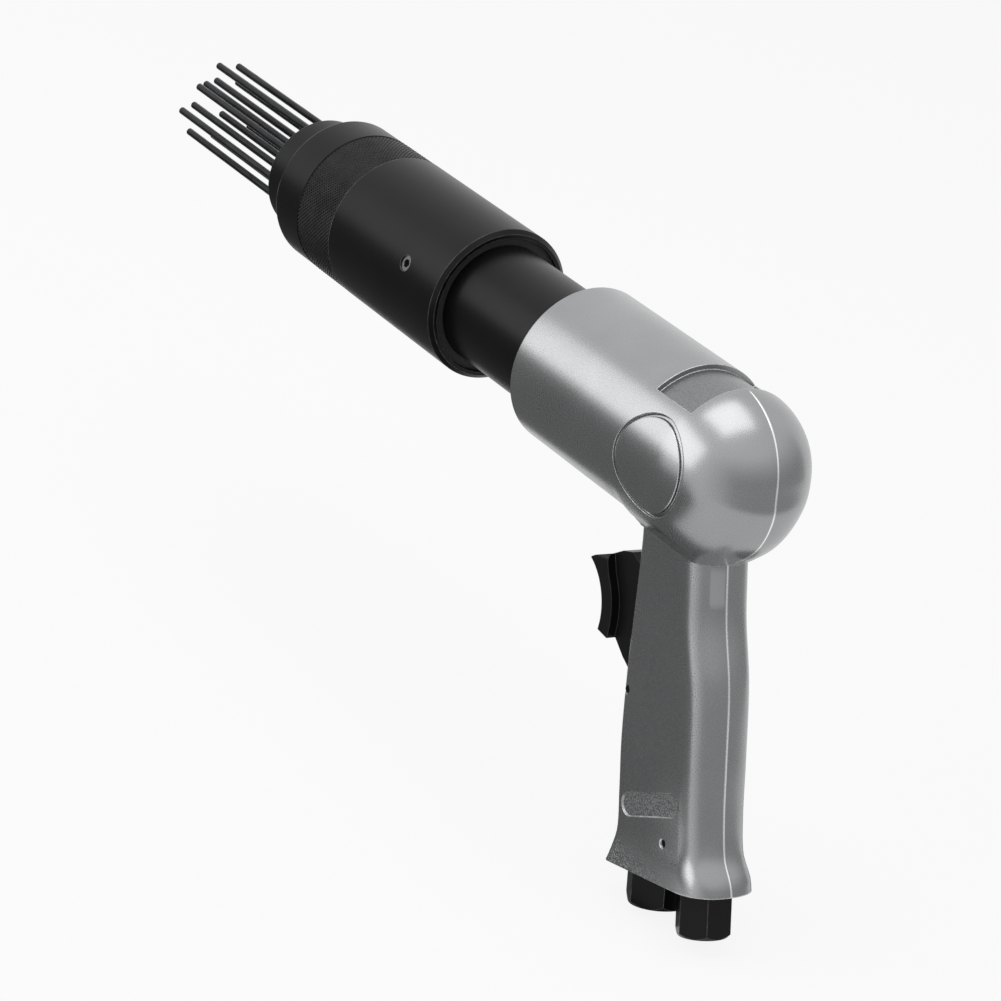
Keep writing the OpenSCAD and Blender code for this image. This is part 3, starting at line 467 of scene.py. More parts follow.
def cut_main_bore(piece):
    """Stepped bore for tube, cylinder and air chamber."""
    profile = [(BARREL_FRONT - behind * MM, radius * MM) for behind, radius in BORE_STEPS]
    combine(piece, turned("bore", profile, 96))


def cut_label_pocket(piece, sizes):
    """Bare pocket that spans the top of the barrel."""
    front = BARREL_FRONT - 70 * MM
    rear = front - 20.5 * MM
    floor = BARREL_RADIUS - sizes.pocket_depth
    top = BARREL_RADIUS + 6 * MM
    half_span, steps = 44, 32
    rings = []
    for step in range(steps + 1):
        angle = math.radians(-half_span + 2 * half_span * step / steps)
        across, up = math.sin(angle), math.cos(angle)
        rings.append([Vector((x, r * across, r * up)) for x, r in
                      ((front, floor), (rear, floor), (rear, top), (front, top))])
    combine(piece, extrude_rings("pocket", rings))


def cut_round_groove(piece, sizes):
    """Groove that draws a round outline on the left side, as deep all round."""
    centre = Vector((BARREL_FRONT - 83.8 * MM, 0, 0))
    outer = 17.8 * MM
    inner = outer - sizes.groove_width
    inside, outside = 18 * MM, 40 * MM
    rings = [[centre + Vector((x, across, z)) for x, z in circle_points(radius, 128)]
             for across, radius in ((inside, outer), (outside, outer), (outside, inner), (inside, inner))]
    groove = extrude_rings("groove", rings, "joined")
    combine(groove, barrel_solid(sizes, sizes.groove_depth))
    combine(piece, groove)


def cut_tag_recess(piece, sizes):
    """Bare oblong recess low on the left side, which dips towards the front."""
    half_length, radius = 12.25, 4.25
    outline = arc_points((half_length, 0), radius, -90, 90, 16)
    outline += arc_points((-half_length, 0), radius, 90, 270, 16)
    dip = Matrix.Rotation(math.radians(-14), 2)
    places = [(Vector(TAG_RECESS) + dip @ Vector(point)) * MM for point in outline]
    side = sizes.handle_width / 2
    rings = [[in_handle(sizes, forward, across, up) for forward, up in places]
             for across in (side - TAG_DEPTH, side + 3 * MM)]
    combine(piece, extrude_rings("recess", rings))


def cut_trigger_slot(piece, sizes):
    """Slot in the handle's front for the trigger's web."""
    rear, front, low, high = 4.5, 34, -96, -43.5
    outline = [(rear, low), (front, low), (front, high), (rear, high)]
    combine(piece, side_solid("slot", sizes, outline, 11 * MM))


def cut_base(piece, sizes):
    """Seats of the inlet bushing, which leans further than the handle, and of the exhaust cap."""
    lean = sizes.rake + math.radians(4)
    inlet = in_handle(sizes, -27.5 * MM, 0, -sizes.handle_length)
    up = Vector((math.sin(lean), 0, math.cos(lean)))
    washer_seat, thread = (11.39 * MM, 2 * MM), (8.05 * MM, 24 * MM)
    for radius, depth in (washer_seat, thread):
        drill(piece, inlet - up * 1.2 * MM, up, radius, depth)
    exhaust = in_handle(sizes, -2.5 * MM, 0, -sizes.handle_length - 1 * MM)
    along = in_handle(sizes, 0, 0, 1) - in_handle(sizes, 0, 0, 0)
    drill(piece, exhaust, along, 9.05 * MM, 14 * MM)


def cut_pin_holes(piece, sizes):
    """Two holes across the handle with chamfered ends."""
    side = sizes.handle_width / 2 + 0.02 * MM
    for forward, up in (TRIGGER_PIVOT, BUSHING_PIN):
        hole = in_handle(sizes, forward * MM, 0, up * MM)
        drill(piece, hole - Vector((0, 30 * MM, 0)), (0, 1, 0), PIN_HOLE, 60 * MM)
        for across in (-side, side):
            countersink(piece, hole, across, PIN_HOLE, 0.45 * MM)


class SCALER_OT_housing(bpy.types.Operator):
    """Model the cast housing: barrel, ball end and raked handle with their pockets and holes"""
    bl_idname = "scaler.housing"
    bl_label = "Cast housing"

    def execute(self, context):
        sizes = context.scene.scaler_housing
        housing = barrel_solid(sizes)
        housing.name = "cast_housing"
        swell_to_collar(housing, sizes)
        cut_round_groove(housing, sizes)
        cut_neck(housing, sizes)
        top_share, steps = HANDLE_STATIONS[-1][0], 56
        sections = [handle_section(sizes, top_share * k / steps) for k in range(steps + 1)]
        combine(housing, extrude_rings("handle", sections), "UNION")
        cut_main_bore(housing)
        cut_label_pocket(housing, sizes)
        cut_tag_recess(housing, sizes)
        cut_trigger_slot(housing, sizes)
        cut_base(housing, sizes)
        cut_pin_holes(housing, sizes)
        smooth_edges(housing, 32)
        finish = context.scene.scaler_finish
        pocket_floor = BARREL_RADIUS - sizes.pocket_depth
        recess_floor = sizes.handle_width / 2 - TAG_DEPTH
        near_top, near_base = 18 * MM, -100 * MM
        finish_faces(housing, cast_aluminium("Cast aluminium", finish), lambda corner: True)
        finish_faces(housing, cast_aluminium("Cast aluminium, pocket", finish, tone=0.72, rough=0.3),
                     lambda corner: corner.z > near_top
                     and abs(math.hypot(corner.y, corner.z) - pocket_floor) < 0.05 * MM)
        finish_faces(housing, cast_aluminium("Cast aluminium, recess", finish, tone=1.1, rough=1.0),
                     lambda corner: corner.z < near_base and abs(corner.y - recess_floor) < 0.02 * MM)
        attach(housing, "tool_body")
        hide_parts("housing")
        return {"FINISHED"}


# The knurled ring

def off_axis(vertex):
    """Distance of a vertex from the barrel axis."""
    return math.hypot(vertex.co.y, vertex.co.z)


def press_knurl(ring, start, pitch, rows, count, radius, depth):
    """Presses every second point of a band inwards and splits its faces into diamond pyramids."""
    select_only(ring)
    bpy.ops.object.mode_set(mode="EDIT")
    bpy.ops.mesh.select_all(action="DESELECT")
    mesh = bmesh.from_edit_mesh(ring.data)
    for vertex in mesh.verts:
        row = (vertex.co.x - start) / pitch
        column = (math.atan2(vertex.co.z, vertex.co.y) % math.tau) / math.tau * count
        on_band = off_axis(vertex) > radius - 0.01 * MM and -0.1 < row < rows + 0.1
        vertex.select = on_band and (round(row) + round(column)) % 2 == 0
    mesh.select_flush_mode()
    bmesh.update_edit_mesh(ring.data)
    shrink = 1 - depth / radius
    bpy.ops.transform.resize(value=(1, shrink, shrink), center_override=(0, 0, 0))
    bpy.ops.mesh.select_all(action="DESELECT")
    bpy.ops.mesh.select_mode(type="FACE")
    mesh = bmesh.from_edit_mesh(ring.data)
    end = start + pitch * rows
    for face in mesh.faces:
        face.select = all(off_axis(vertex) > radius - depth - 0.05 * MM
                          and start - 0.1 * MM < vertex.co.x < end + 0.1 * MM for vertex in face.verts)
    bmesh.update_edit_mesh(ring.data)
    bpy.ops.mesh.quads_convert_to_tris(quad_method="SHORTEST_DIAGONAL")
    bpy.ops.object.mode_set(mode="OBJECT")


class SCALER_OT_ring(bpy.types.Operator):
    """Model the grip ring with its band of diamond knurling"""
    bl_idname = "scaler.ring"
    bl_label = "Knurled ring"

    def execute(self, context):
        sizes = context.scene.scaler_ring
        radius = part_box("knurled_ring")[1][1]
        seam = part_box("front_sleeve")[1][0]
        band_end = seam + sizes.knurl_length
        rows = 2 * round(sizes.knurl_length / sizes.knurl_pitch)
        count = 2 * round(math.tau * radius / sizes.knurl_pitch)
        start = seam + 0.4 * MM
        pitch = (sizes.knurl_length - 0.4 * MM) / rows
        bore, rear_bore, seat = 22.55 * MM, 24.2 * MM, 26 * MM
        band = [(start + pitch * k, radius) for k in range(rows + 1)]
        # A groove after the band, the smooth front with its rounded rim, the bore and the rear face
        front = [
            (band_end + 0.3 * MM, radius - 0.7 * MM), (band_end + 0.9 * MM, radius - 0.7 * MM),
            (band_end + 1.2 * MM, radius - 0.15 * MM), (-1.4 * MM, radius - 0.15 * MM),
            (-0.7 * MM, radius - 0.35 * MM), (-0.2 * MM, radius - 0.9 * MM), (0, radius - 1.5 * MM),
            (0, bore), (-13 * MM, bore), (-13 * MM, rear_bore), (RING_REAR, rear_bore),
            (RING_REAR, seat), (seam, seat), (seam, radius - 0.6 * MM),
        ]
        ring = turned("grip_ring", band + front, count, "joined")
        press_knurl(ring, start, pitch, rows, count, radius, sizes.knurl_depth)
        smooth_edges(ring, 12)
        ring.data.materials.append(black_oxide("Black oxide, knurled", context.scene.scaler_finish,
                                               turning=0.3, tips=radius))
        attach(ring, "sleeve_body")
        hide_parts("knurled_ring")
        return {"FINISHED"}


# The trigger

class SCALER_OT_trigger(bpy.types.Operator):
    """Model the moulded trigger: hooked finger pad on a narrower web"""
    bl_idname = "scaler.trigger"
    bl_label = "Trigger"

    def execute(self, context):
        sizes = context.scene.scaler_trigger
        handle = context.scene.scaler_housing
        finger = (55.5, -65)
        pad_outline = arc_points(finger, 22, 128, 200, 24) + arc_points(finger, 28, 200, 152, 16)
        pad_outline += [(32.4, -44.6), (39.6, -46.4), (41.4, -47.2)]
        pad = side_solid("trigger_lever", handle, pad_outline, sizes.pad_width)
        half = sizes.pad_width / 2
        corner = 3 * MM
        bottom, shoulder, top = -80 * MM, -47.4 * MM, -42 * MM
        front_view = [(half, bottom)]
        front_view += arc_points((half - corner, shoulder), corner, 0, 90, 8)
        front_view += [(half - corner, top), (corner - half, top)]
        front_view += arc_points((corner - half, shoulder), corner, 90, 180, 8)
        front_view += [(-half, bottom)]
        rings = [[in_handle(handle, forward, across, up) for across, up in front_view]
                 for forward in (20 * MM, 50 * MM)]
        combine(pad, extrude_rings("front_view", rings), "INTERSECT")
        web_outline = [(33.4, -44.8), (27.6, -42.6), (22, -42), (15.6, -46.4), (9.8, -49.5), (7.7, -60),
                       (7.7, -64)]
        web_outline += arc_points(TRIGGER_PIVOT, 3.3, 180, 300, 12)
        web_outline += [(23.4, -80.2), (28.8, -74.2), (30.5, -64), (32, -54)]
        combine(pad, side_solid("trigger_web", handle, web_outline, sizes.web_width), "UNION")
        pin_end = in_handle(handle, TRIGGER_PIVOT[0] * MM, -30 * MM, TRIGGER_PIVOT[1] * MM)
        drill(pad, pin_end, (0, 1, 0), 1.55 * MM, 60 * MM)
        apply_modifier(pad, "BEVEL", width=sizes.edge_round, segments=3, limit_method="ANGLE",
                       angle_limit=math.radians(35))
        smooth_edges(pad, 40)
        pad.data.materials.append(moulded_plastic(context.scene.scaler_finish))
        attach(pad, "trigger_body")
        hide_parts("trigger")
        return {"FINISHED"}


# The return spring

# Its wire and curls, and how many of the curls are in the rear length
SPRING_WIRE = 1.2 * MM
SPRING_CURLS = 8
REAR_CURLS = 3


def wind_spring(name, start, curls, pitch, radius):
    """Part of a coil round the tool's axis, which starts under it at a place along it."""
    coil = add_object(name, bpy.ops.mesh.primitive_circle_add, vertices=12, radius=SPRING_WIRE / 2,
                      location=(start, 0, -radius), rotation=(math.pi / 2, 0, 0))
    bpy.ops.object.transform_apply(location=True, rotation=True, scale=True)
    apply_modifier(coil, "SCREW", axis="X", screw_offset=pitch, iterations=curls, steps=36)
    bpy.ops.object.mode_set(mode="EDIT")
    bpy.ops.mesh.select_all(action="SELECT")
    bpy.ops.mesh.fill_holes(sides=0)
    bpy.ops.mesh.select_all(action="SELECT")
    bpy.ops.mesh.normals_make_consistent(inside=False)
    bpy.ops.object.mode_set(mode="OBJECT")
    bpy.ops.object.shade_smooth()
    return coil


class SCALER_OT_return_spring(bpy.types.Operator):
    """Wind the return spring in two lengths"""
    bl_idname = "scaler.return_spring"
    bl_label = "Return spring"

    def execute(self, context):
        low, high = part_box("return_spring")
        radius = high[1] - SPRING_WIRE / 2
        pitch = (high[0] - low[0] - SPRING_WIRE) / SPRING_CURLS
        start = low[0] + SPRING_WIRE / 2
        middle = start + REAR_CURLS * pitch
        steel = inner_metal("Spring steel, return spring", (0.3, 0.3, 0.32), (0.3, 0.4))
        rear = wind_spring("return_spring_rear", start, REAR_CURLS, pitch, radius)
        front = wind_spring("return_spring_front", middle, SPRING_CURLS - REAR_CURLS, pitch, radius)
        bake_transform(rear)
        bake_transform(front)
        for part in (rear, front):
            part.data.materials.append(steel)
            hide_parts("return_spring")
        return {"FINISHED"}


# Shader helpers

def feed(tree, socket, value):
    """Links an output to a socket, or sets the socket to a value."""
    if isinstance(value, bpy.types.NodeSocket):
        tree.links.new(value, socket)
    else:
        socket.default_value = value


def place_node(tree, kind, inputs=None, **settings):
    """Adds a node with its settings and feeds its inputs, by name or number."""
    node = tree.nodes.new(kind)
    for name, value in settings.items():
        setattr(node, name, value)
    for name, value in (inputs or {}).items():
        feed(tree, node.inputs[name], value)
    return node


def calculate(tree, operation, first, second=0.0, **settings):
    """One sum of two values, each an output or a number."""
    return place_node(tree, "ShaderNodeMath", {0: first, 1: second}, operation=operation,
                      **settings).outputs["Value"]


def spread(tree, value, low, high, start=0.3, end=0.7):
    """Spreads the part of a value from start to end between two numbers."""
    return place_node(tree, "ShaderNodeMapRange", {
        "Value": value, "From Min": start, "From Max": end, "To Min": low, "To Max": high,
    }).outputs["Result"]


def between(tree, value, low, high, soft):
    """1 where a value lies between two numbers, with soft ends."""
    above = spread(tree, value, 0.0, 1.0, low, low + soft)
    below = spread(tree, value, 1.0, 0.0, high - soft, high)
    return calculate(tree, "MULTIPLY", above, below)


def blend_colours(tree, mask, low, high):
    """Mixes two colours, or colour outputs, by a mask."""
    low, high = (each if isinstance(each, bpy.types.NodeSocket) else (*each, 1.0) for each in (low, high))
    return place_node(tree, "ShaderNodeMix", {"Factor": mask, 6: low, 7: high}, data_type="RGBA").outputs[2]


def darker(colour, share):
    """A colour at a share of its lightness."""
    return tuple(part * share for part in colour)


def on_object(tree):
    """The place on the piece."""
    return tree.nodes.new("ShaderNodeTexCoord").outputs["Object"]


def object_axes(tree):
    """The x, y and z of the place on the piece."""
    axes = place_node(tree, "ShaderNodeSeparateXYZ", {"Vector": on_object(tree)}).outputs
    return axes["X"], axes["Y"], axes["Z"]


def noise(tree, place, scale, detail, roughness):
    """Noise at a place."""
    return place_node(tree, "ShaderNodeTexNoise", {
        "Vector": place, "Scale": scale, "Detail": detail, "Roughness": roughness,
    }).outputs["Fac"]


def bump(tree, height, strength, distance, normal=None):
    """Normal of a surface raised by a height, on top of another normal if there is one."""
    inputs = {"Height": height, "Strength": strength, "Distance": distance}
    if normal:
        inputs["Normal"] = normal
    return place_node(tree, "ShaderNodeBump", inputs).outputs["Normal"]


def new_material(name):
    """A material with an empty Principled shader, and its tree."""
    material = bpy.data.materials.new(name)
    material.use_nodes = True
    return material, material.node_tree, material.node_tree.nodes["Principled BSDF"]


def new_group(name, inputs, outputs):
    """Starts a shader group of number inputs and returns its tree, inputs and outputs."""
    tree = bpy.data.node_groups.new(name, "ShaderNodeTree")
    for socket, default in inputs.items():
        made = tree.interface.new_socket(name=socket, in_out="INPUT", socket_type="NodeSocketFloat")
        made.default_value = default
    for socket, kind in outputs.items():
        tree.interface.new_socket(name=socket, in_out="OUTPUT", socket_type="NodeSocket" + kind)
    return tree, tree.nodes.new("NodeGroupInput").outputs, tree.nodes.new("NodeGroupOutput").inputs


def build_edge_wear(name):
    """Group: a mask on worn edges, and a normal that rounds them."""
    tree, given, result = new_group(name, {"Radius": 0.0004, "Amount": 1.0, "Patch scale": 220.0},
                                    {"Mask": "Float", "Normal": "Vector"})
    rounded = place_node(tree, "ShaderNodeBevel", {"Radius": given["Radius"]}, samples=6).outputs["Normal"]
    surface = tree.nodes.new("ShaderNodeNewGeometry").outputs["Normal"]
    agree = place_node(tree, "ShaderNodeVectorMath", {0: rounded, 1: surface}, operation="DOT_PRODUCT")
    edge = spread(tree, agree.outputs["Value"], 0.0, 1.0, 0.995, 0.88)
    worn = spread(tree, noise(tree, on_object(tree), given["Patch scale"], 4.0, 0.6), 0.25, 1.0, 0.35, 0.6)
    mask = calculate(tree, "MULTIPLY", edge, worn)
    feed(tree, result["Mask"], calculate(tree, "MULTIPLY", mask, given["Amount"], use_clamp=True))
    feed(tree, result["Normal"], rounded)
    return tree


def build_grain(name):
    """Group: fine grain and broad shade over a surface."""
    tree, given, result = new_group(name, {"Fine scale": 1800.0, "Broad scale": 30.0},
                                    {"Fine": "Float", "Broad": "Float"})
    for output, detail in (("Fine", 3.0), ("Broad", 2.0)):
        feed(tree, result[output], noise(tree, on_object(tree), given[output + " scale"], detail, 0.55))
    return tree


def build_turning(name):
    """Group: fine lines left by a lathe, along the barrel axis."""
    tree, given, result = new_group(name, {"Lines per metre": 4000.0}, {"Lines": "Float"})
    stretched = place_node(tree, "ShaderNodeMapping", {"Vector": on_object(tree),
                                                       "Scale": (1.0, 0.012, 0.012)}).outputs["Vector"]
    feed(tree, result["Lines"], noise(tree, stretched, given["Lines per metre"], 2.0, 0.5))
    return tree


def build_stipple(name):
    """Group: close pebbles, as on a rough cast or stamped face."""
    tree, given, result = new_group(name, {"Pebbles per metre": 900.0}, {"Height": "Float"})
    cells = place_node(tree, "ShaderNodeTexVoronoi", {
        "Vector": on_object(tree), "Scale": given["Pebbles per metre"], "Randomness": 0.85,
    }, feature="SMOOTH_F1")
    feed(tree, result["Height"], spread(tree, cells.outputs["Distance"], 1.0, 0.0, 0.0, 0.7))
    return tree


def place_group(tree, name, build, **inputs):
    """Puts a shared group into a material, builds it first if need be and returns its outputs."""
    group = bpy.data.node_groups.get(name) or build(name)
    inputs = {socket.replace("_", " ").capitalize(): value for socket, value in inputs.items()}
    return place_node(tree, "ShaderNodeGroup", inputs, node_tree=group).outputs


# Materials

# Places of the marks on the casting, in metres. A mark fades from the first number to the second,
# but GATE_ACROSS and GATE_UP are the two sides of the gate mark
# The seam where the mould parts is a raised ridge, and it is painted near white as a painted highlight
# along it
PARTING_HALF = (0.00018, 0.0005)
PARTING_END = (-0.2705, -0.2695)
BASE_SKIN_END = (-0.146, -0.134)
GATE_ACROSS = (0.0006, 0.0072)
GATE_UP = (-0.0445, -0.0300)
GATE_END = (-0.2750, -0.2735)


def cast_aluminium(name, finish, tone=1.0, rough=0.0):
    """Satin casting: fine blasted grain, broad shade, worn edges painted bright enough to double as edge
    highlights, a raised seam where the mould parts painted near white as a highlight, and rough patches.
    """
    material, tree, shader = new_material(name)
    along, across, up = object_axes(tree)
    grain = place_group(tree, "Grain", build_grain, fine_scale=2600.0, broad_scale=38.0)
    # Worn edges: partly real wear, and painted bright so that they also stand for highlights along the
    # edges
    wear = place_group(tree, "Edge wear", build_edge_wear, radius=0.0006, amount=1.0, patch_scale=160.0)
    pebbles = place_group(tree, "Stipple", build_stipple, pebbles_per_metre=1500.0)["Height"]

    line = spread(tree, calculate(tree, "ABSOLUTE", across), 1.0, 0.0, *PARTING_HALF)
    seam_ridge_and_highlight = calculate(tree, "MULTIPLY", line, spread(tree, along, 1.0, 0.0, *PARTING_END))
    base_skin = spread(tree, up, 1.0, 0.0, *BASE_SKIN_END)
    gate = calculate(tree, "MULTIPLY", between(tree, across, *GATE_ACROSS, soft=0.0008),
                     between(tree, up, *GATE_UP, soft=0.0025))
    gate_mark = calculate(tree, "MULTIPLY", gate, spread(tree, along, 1.0, 0.0, *GATE_END))
    pebbled_here = calculate(tree, "MAXIMUM", base_skin, rough)
    rough_here = calculate(tree, "MAXIMUM", pebbled_here, gate_mark)

    plain = blend_colours(tree, spread(tree, grain["Broad"], 0, 1),
                          darker(finish.casting, 0.9 * tone), darker(finish.casting, tone))
    ground = blend_colours(tree, gate_mark, plain, darker(finish.casting, 1.12))
    pits = calculate(tree, "MULTIPLY", pebbled_here, spread(tree, pebbles, 1.0, 0.0, 0.2, 0.6))
    pitted = blend_colours(tree, pits, ground, darker(finish.casting, 0.45 * tone))
    # Painted highlight: the seam is painted near white to stand for light caught along its ridge
    with_seam_highlight = blend_colours(tree, seam_ridge_and_highlight, pitted, (0.92, 0.92, 0.93))
    # Painted highlight along the edges: the worn-edge colour is near white, partly bare metal and partly
    # light caught on the edges
    feed(tree, shader.inputs["Base Color"], blend_colours(tree, wear["Mask"], with_seam_highlight, (0.84, 0.84, 0.85)))
    roughness = calculate(tree, "ADD", spread(tree, grain["Fine"], 0.22, 0.30),
                          calculate(tree, "MULTIPLY", rough_here, 0.2))
    feed(tree, shader.inputs["Roughness"], roughness)
    shader.inputs["Metallic"].default_value = 0.9

    grained = bump(tree, grain["Fine"], 0.35, 0.00004, wear["Normal"])
    pebbled = bump(tree, calculate(tree, "MULTIPLY", pebbles, pebbled_here), 0.7, 0.00025, grained)
    feed(tree, shader.inputs["Normal"], bump(tree, seam_ridge_and_highlight, 0.6, 0.0002, pebbled))
    return material


def rub_tips(tree, colour, shade, radius):
    """Lightens the points of a knurled band, which lie at a radius from the barrel axis."""
    _, across, up = object_axes(tree)
    square = calculate(tree, "ADD", calculate(tree, "MULTIPLY", across, across),
                       calculate(tree, "MULTIPLY", up, up))
    off_centre = calculate(tree, "SQRT", square)
    rubbed = spread(tree, off_centre, 0.0, 1.0, radius - 0.13 * MM, radius - 0.03 * MM)
    patchy = calculate(tree, "MULTIPLY", rubbed, spread(tree, shade, 0.6, 1.0))
    return blend_colours(tree, patchy, colour, (0.075, 0.075, 0.078))


def plain_finish(name, dark, light, scales, roughness, relief, wear=None, bare=None, lathe=0.0,
                 tips=0.0, rough_by="Fine", **inputs):
    """Material whose colour varies from dark to light, with fine relief.

    scales are those of fine grain and broad shade, and rough_by says which of them the roughness
    follows between its two numbers. relief is its strength and distance. wear holds radius, amount and
    patch scale of the worn edges, whose colour is bare. lathe is the number of lathe lines per metre,
    and tips the radius of knurled points that are rubbed bright. The rest are inputs of the shader."""
    material, tree, shader = new_material(name)
    grain = place_group(tree, "Grain", build_grain, fine_scale=scales[0], broad_scale=scales[1])
    height, normal = grain["Fine"], None
    colour = blend_colours(tree, spread(tree, grain["Broad"], 0, 1), dark, light)
    if wear:
        worn = place_group(tree, "Edge wear", build_edge_wear, radius=wear[0], amount=wear[1],
                           patch_scale=wear[2])
        colour = blend_colours(tree, worn["Mask"], colour, bare)
        normal = worn["Normal"]
    if tips:
        colour = rub_tips(tree, colour, grain["Broad"], tips)
    if lathe:
        height = place_group(tree, "Turning", build_turning, lines_per_metre=lathe)["Lines"]
    feed(tree, shader.inputs["Base Color"], colour)
    feed(tree, shader.inputs["Roughness"], spread(tree, grain[rough_by], *roughness))
    feed(tree, shader.inputs["Normal"], bump(tree, height, *relief, normal))
    for socket, value in inputs.items():
        shader.inputs[socket.replace("_", " ")].default_value = value
    return material


def black_oxide(name, finish, turning=1.0, tips=0.0):
    """Black oxide on steel: lathe lines, soft sheen and bare metal at the rims."""
    return plain_finish(name, darker(finish.black_steel, 0.7), finish.black_steel, scales=(2200.0, 45.0),
                        roughness=(0.28, 0.38), relief=(0.25 * turning, 0.00004),
                        wear=(0.0004, 0.1 if tips else 1.0, 200.0), bare=(0.3, 0.3, 0.31),
                        lathe=5200.0, tips=tips, Specular_IOR_Level=0.17)


def moulded_plastic(finish):
    """Black moulded plastic with a fine spark-eroded grain."""
    return plain_finish("Moulded plastic", darker(finish.plastic, 0.8), finish.plastic,
                        scales=(3000.0, 60.0), roughness=(0.30, 0.42), relief=(0.3, 0.00004),
                        wear=(0.0004, 0.9, 240.0), bare=(0.10, 0.10, 0.102), Specular_IOR_Level=0.25)


def drawn_steel(finish):
    """Dark drawn wire of the needles, rubbed bright in places."""
    return plain_finish("Needle steel", darker(finish.needle_steel, 0.5), finish.needle_steel,
                        scales=(1500.0, 90.0), roughness=(0.22, 0.40), relief=(0.2, 0.00003),
                        wear=(0.0003, 0.9, 300.0), bare=(0.35, 0.35, 0.36), rough_by="Broad",
                        Metallic=0.85)


def inner_metal(name, colour, roughness):
    """Ground or turned metal of the inner pieces."""
    return plain_finish(name, darker(colour, 0.85), colour, scales=(1800.0, 50.0), roughness=roughness,
                        relief=(0.2, 0.00003), wear=(0.0003, 0.6, 260.0), bare=darker(colour, 1.25),
                        lathe=4200.0, Metallic=1.0)


def black_rubber():
    """Matte rubber with a fine moulded skin."""
    return plain_finish("Black rubber", (0.012, 0.012, 0.012), (0.022, 0.022, 0.023),
                        scales=(2400.0, 70.0), roughness=(0.6, 0.75), relief=(0.3, 0.00004))


def dress(nodes, material):
    """Gives CAD nodes one material."""
    for name in nodes:
        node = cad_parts[name]
        node.data.materials.clear()
        node.data.materials.append(material)


class SCALER_OT_black_parts(bpy.types.Operator):
    """Finish the tube, the sleeve, the nozzle and the screwed black pieces"""
    bl_idname = "scaler.black_parts"
    bl_label = "Black steel pieces"

    def execute(self, context):
        finish = context.scene.scaler_finish
        dress(BLACK_TURNED, black_oxide("Black oxide, turned", finish))
        dress(BLACK_SCREWED, black_oxide("Black oxide, milled", finish, turning=0.0))
        dress(WORN_STEEL, inner_metal("Worn steel", (0.2, 0.2, 0.205), (0.3, 0.42)))
        return {"FINISHED"}


class SCALER_OT_needles(bpy.types.Operator):
    """Finish the needles"""
    bl_idname = "scaler.needles"
    bl_label = "Needles"

    def execute(self, context):
        dress(NEEDLES, drawn_steel(context.scene.scaler_finish))
        return {"FINISHED"}


class SCALER_OT_inner_parts(bpy.types.Operator):
    """Finish the hammer, the valve, the throttle, the springs and the seals"""
    bl_idname = "scaler.inner_parts"
    bl_label = "Inner pieces"

    def execute(self, context):
        dress(GROUND_STEEL, inner_metal("Ground steel", (0.5, 0.5, 0.52), (0.22, 0.32)))
        dress(SPRING_STEEL, inner_metal("Spring steel", (0.3, 0.3, 0.32), (0.3, 0.4)))
        dress(BRONZE, inner_metal("Bronze", (0.55, 0.38, 0.18), (0.28, 0.4)))
        dress(RUBBER, black_rubber())
        return {"FINISHED"}


# Stage

# Where the lights aim, how far off they and the standing cards are, in metres, and how much of
# the floor's white is its own
LIGHT_CENTRE = (-0.22, 0, 0)
LIGHT_DISTANCE = 1.5
CARD_DISTANCE = 0.9
FLOOR_GLOW = 0.88


def seen_white(tree):
    """1 where the background is seen directly, in a reflection or through glass."""
    rays = tree.nodes.new("ShaderNodeLightPath").outputs
    first = calculate(tree, "MAXIMUM", rays["Is Camera Ray"], rays["Is Glossy Ray"])
    return calculate(tree, "MAXIMUM", first, rays["Is Transmission Ray"])


def glow(tree, strength):
    """White light given off by a surface."""
    return place_node(tree, "ShaderNodeEmission", {"Color": (1, 1, 1, 1), "Strength": strength}).outputs[0]


def pale_floor():
    """Pale floor that looks white and keeps the shadow of the tool."""
    material, tree, shader = new_material("Pale floor")
    shader.inputs["Base Color"].default_value = (0.8, 0.8, 0.8, 1)
    shader.inputs["Roughness"].default_value = 0.9
    shader.inputs["Specular IOR Level"].default_value = 0.1
    share = calculate(tree, "MULTIPLY", seen_white(tree), FLOOR_GLOW)
    mix = place_node(tree, "ShaderNodeMixShader", {"Fac": share, 1: shader.outputs["BSDF"],
                                                   2: glow(tree, 1.0)})
    feed(tree, tree.nodes["Material Output"].inputs["Surface"], mix.outputs["Shader"])
    return material


def white_world(strength):
    """World that is seen white and lights the tool at a plain level."""
    world = bpy.data.worlds.new("Studio")
    world.use_nodes = True
    tree = world.node_tree
    background = tree.nodes["Background"].inputs
    feed(tree, background["Strength"], spread(tree, seen_white(tree), strength, 1.0, 0, 1))
    background["Color"].default_value = (1, 1, 1, 1)
    return world


def only_reflected(card, shade, fades=False):
    """Turns a piece into a plain grey card of the studio that only reflections see.

    A card that fades turns to white towards its top and its end on the left."""
    material, tree, _ = new_material(card.name)
    strength = shade
    if fades:
        _, to_left, up = object_axes(tree)
        strength = calculate(tree, "MAXIMUM", spread(tree, up, shade, 1.0, -0.1, 0.36),
                             spread(tree, to_left, shade, 1.0, 0.3, 0.78))
    feed(tree, tree.nodes["Material Output"].inputs["Surface"], glow(tree, strength))
    card.data.materials.append(material)
    card.visible_camera = False
    card.visible_diffuse = False
    card.visible_shadow = False
    card.visible_transmission = False
    card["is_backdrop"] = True


def lay_card(name, x, y, radius, height, shade):
    """Round card that lies on the floor."""
    card = add_object(name, bpy.ops.mesh.primitive_circle_add, vertices=64, radius=radius,
                      fill_type="NGON", location=(x, y, height))
    only_reflected(card, shade)


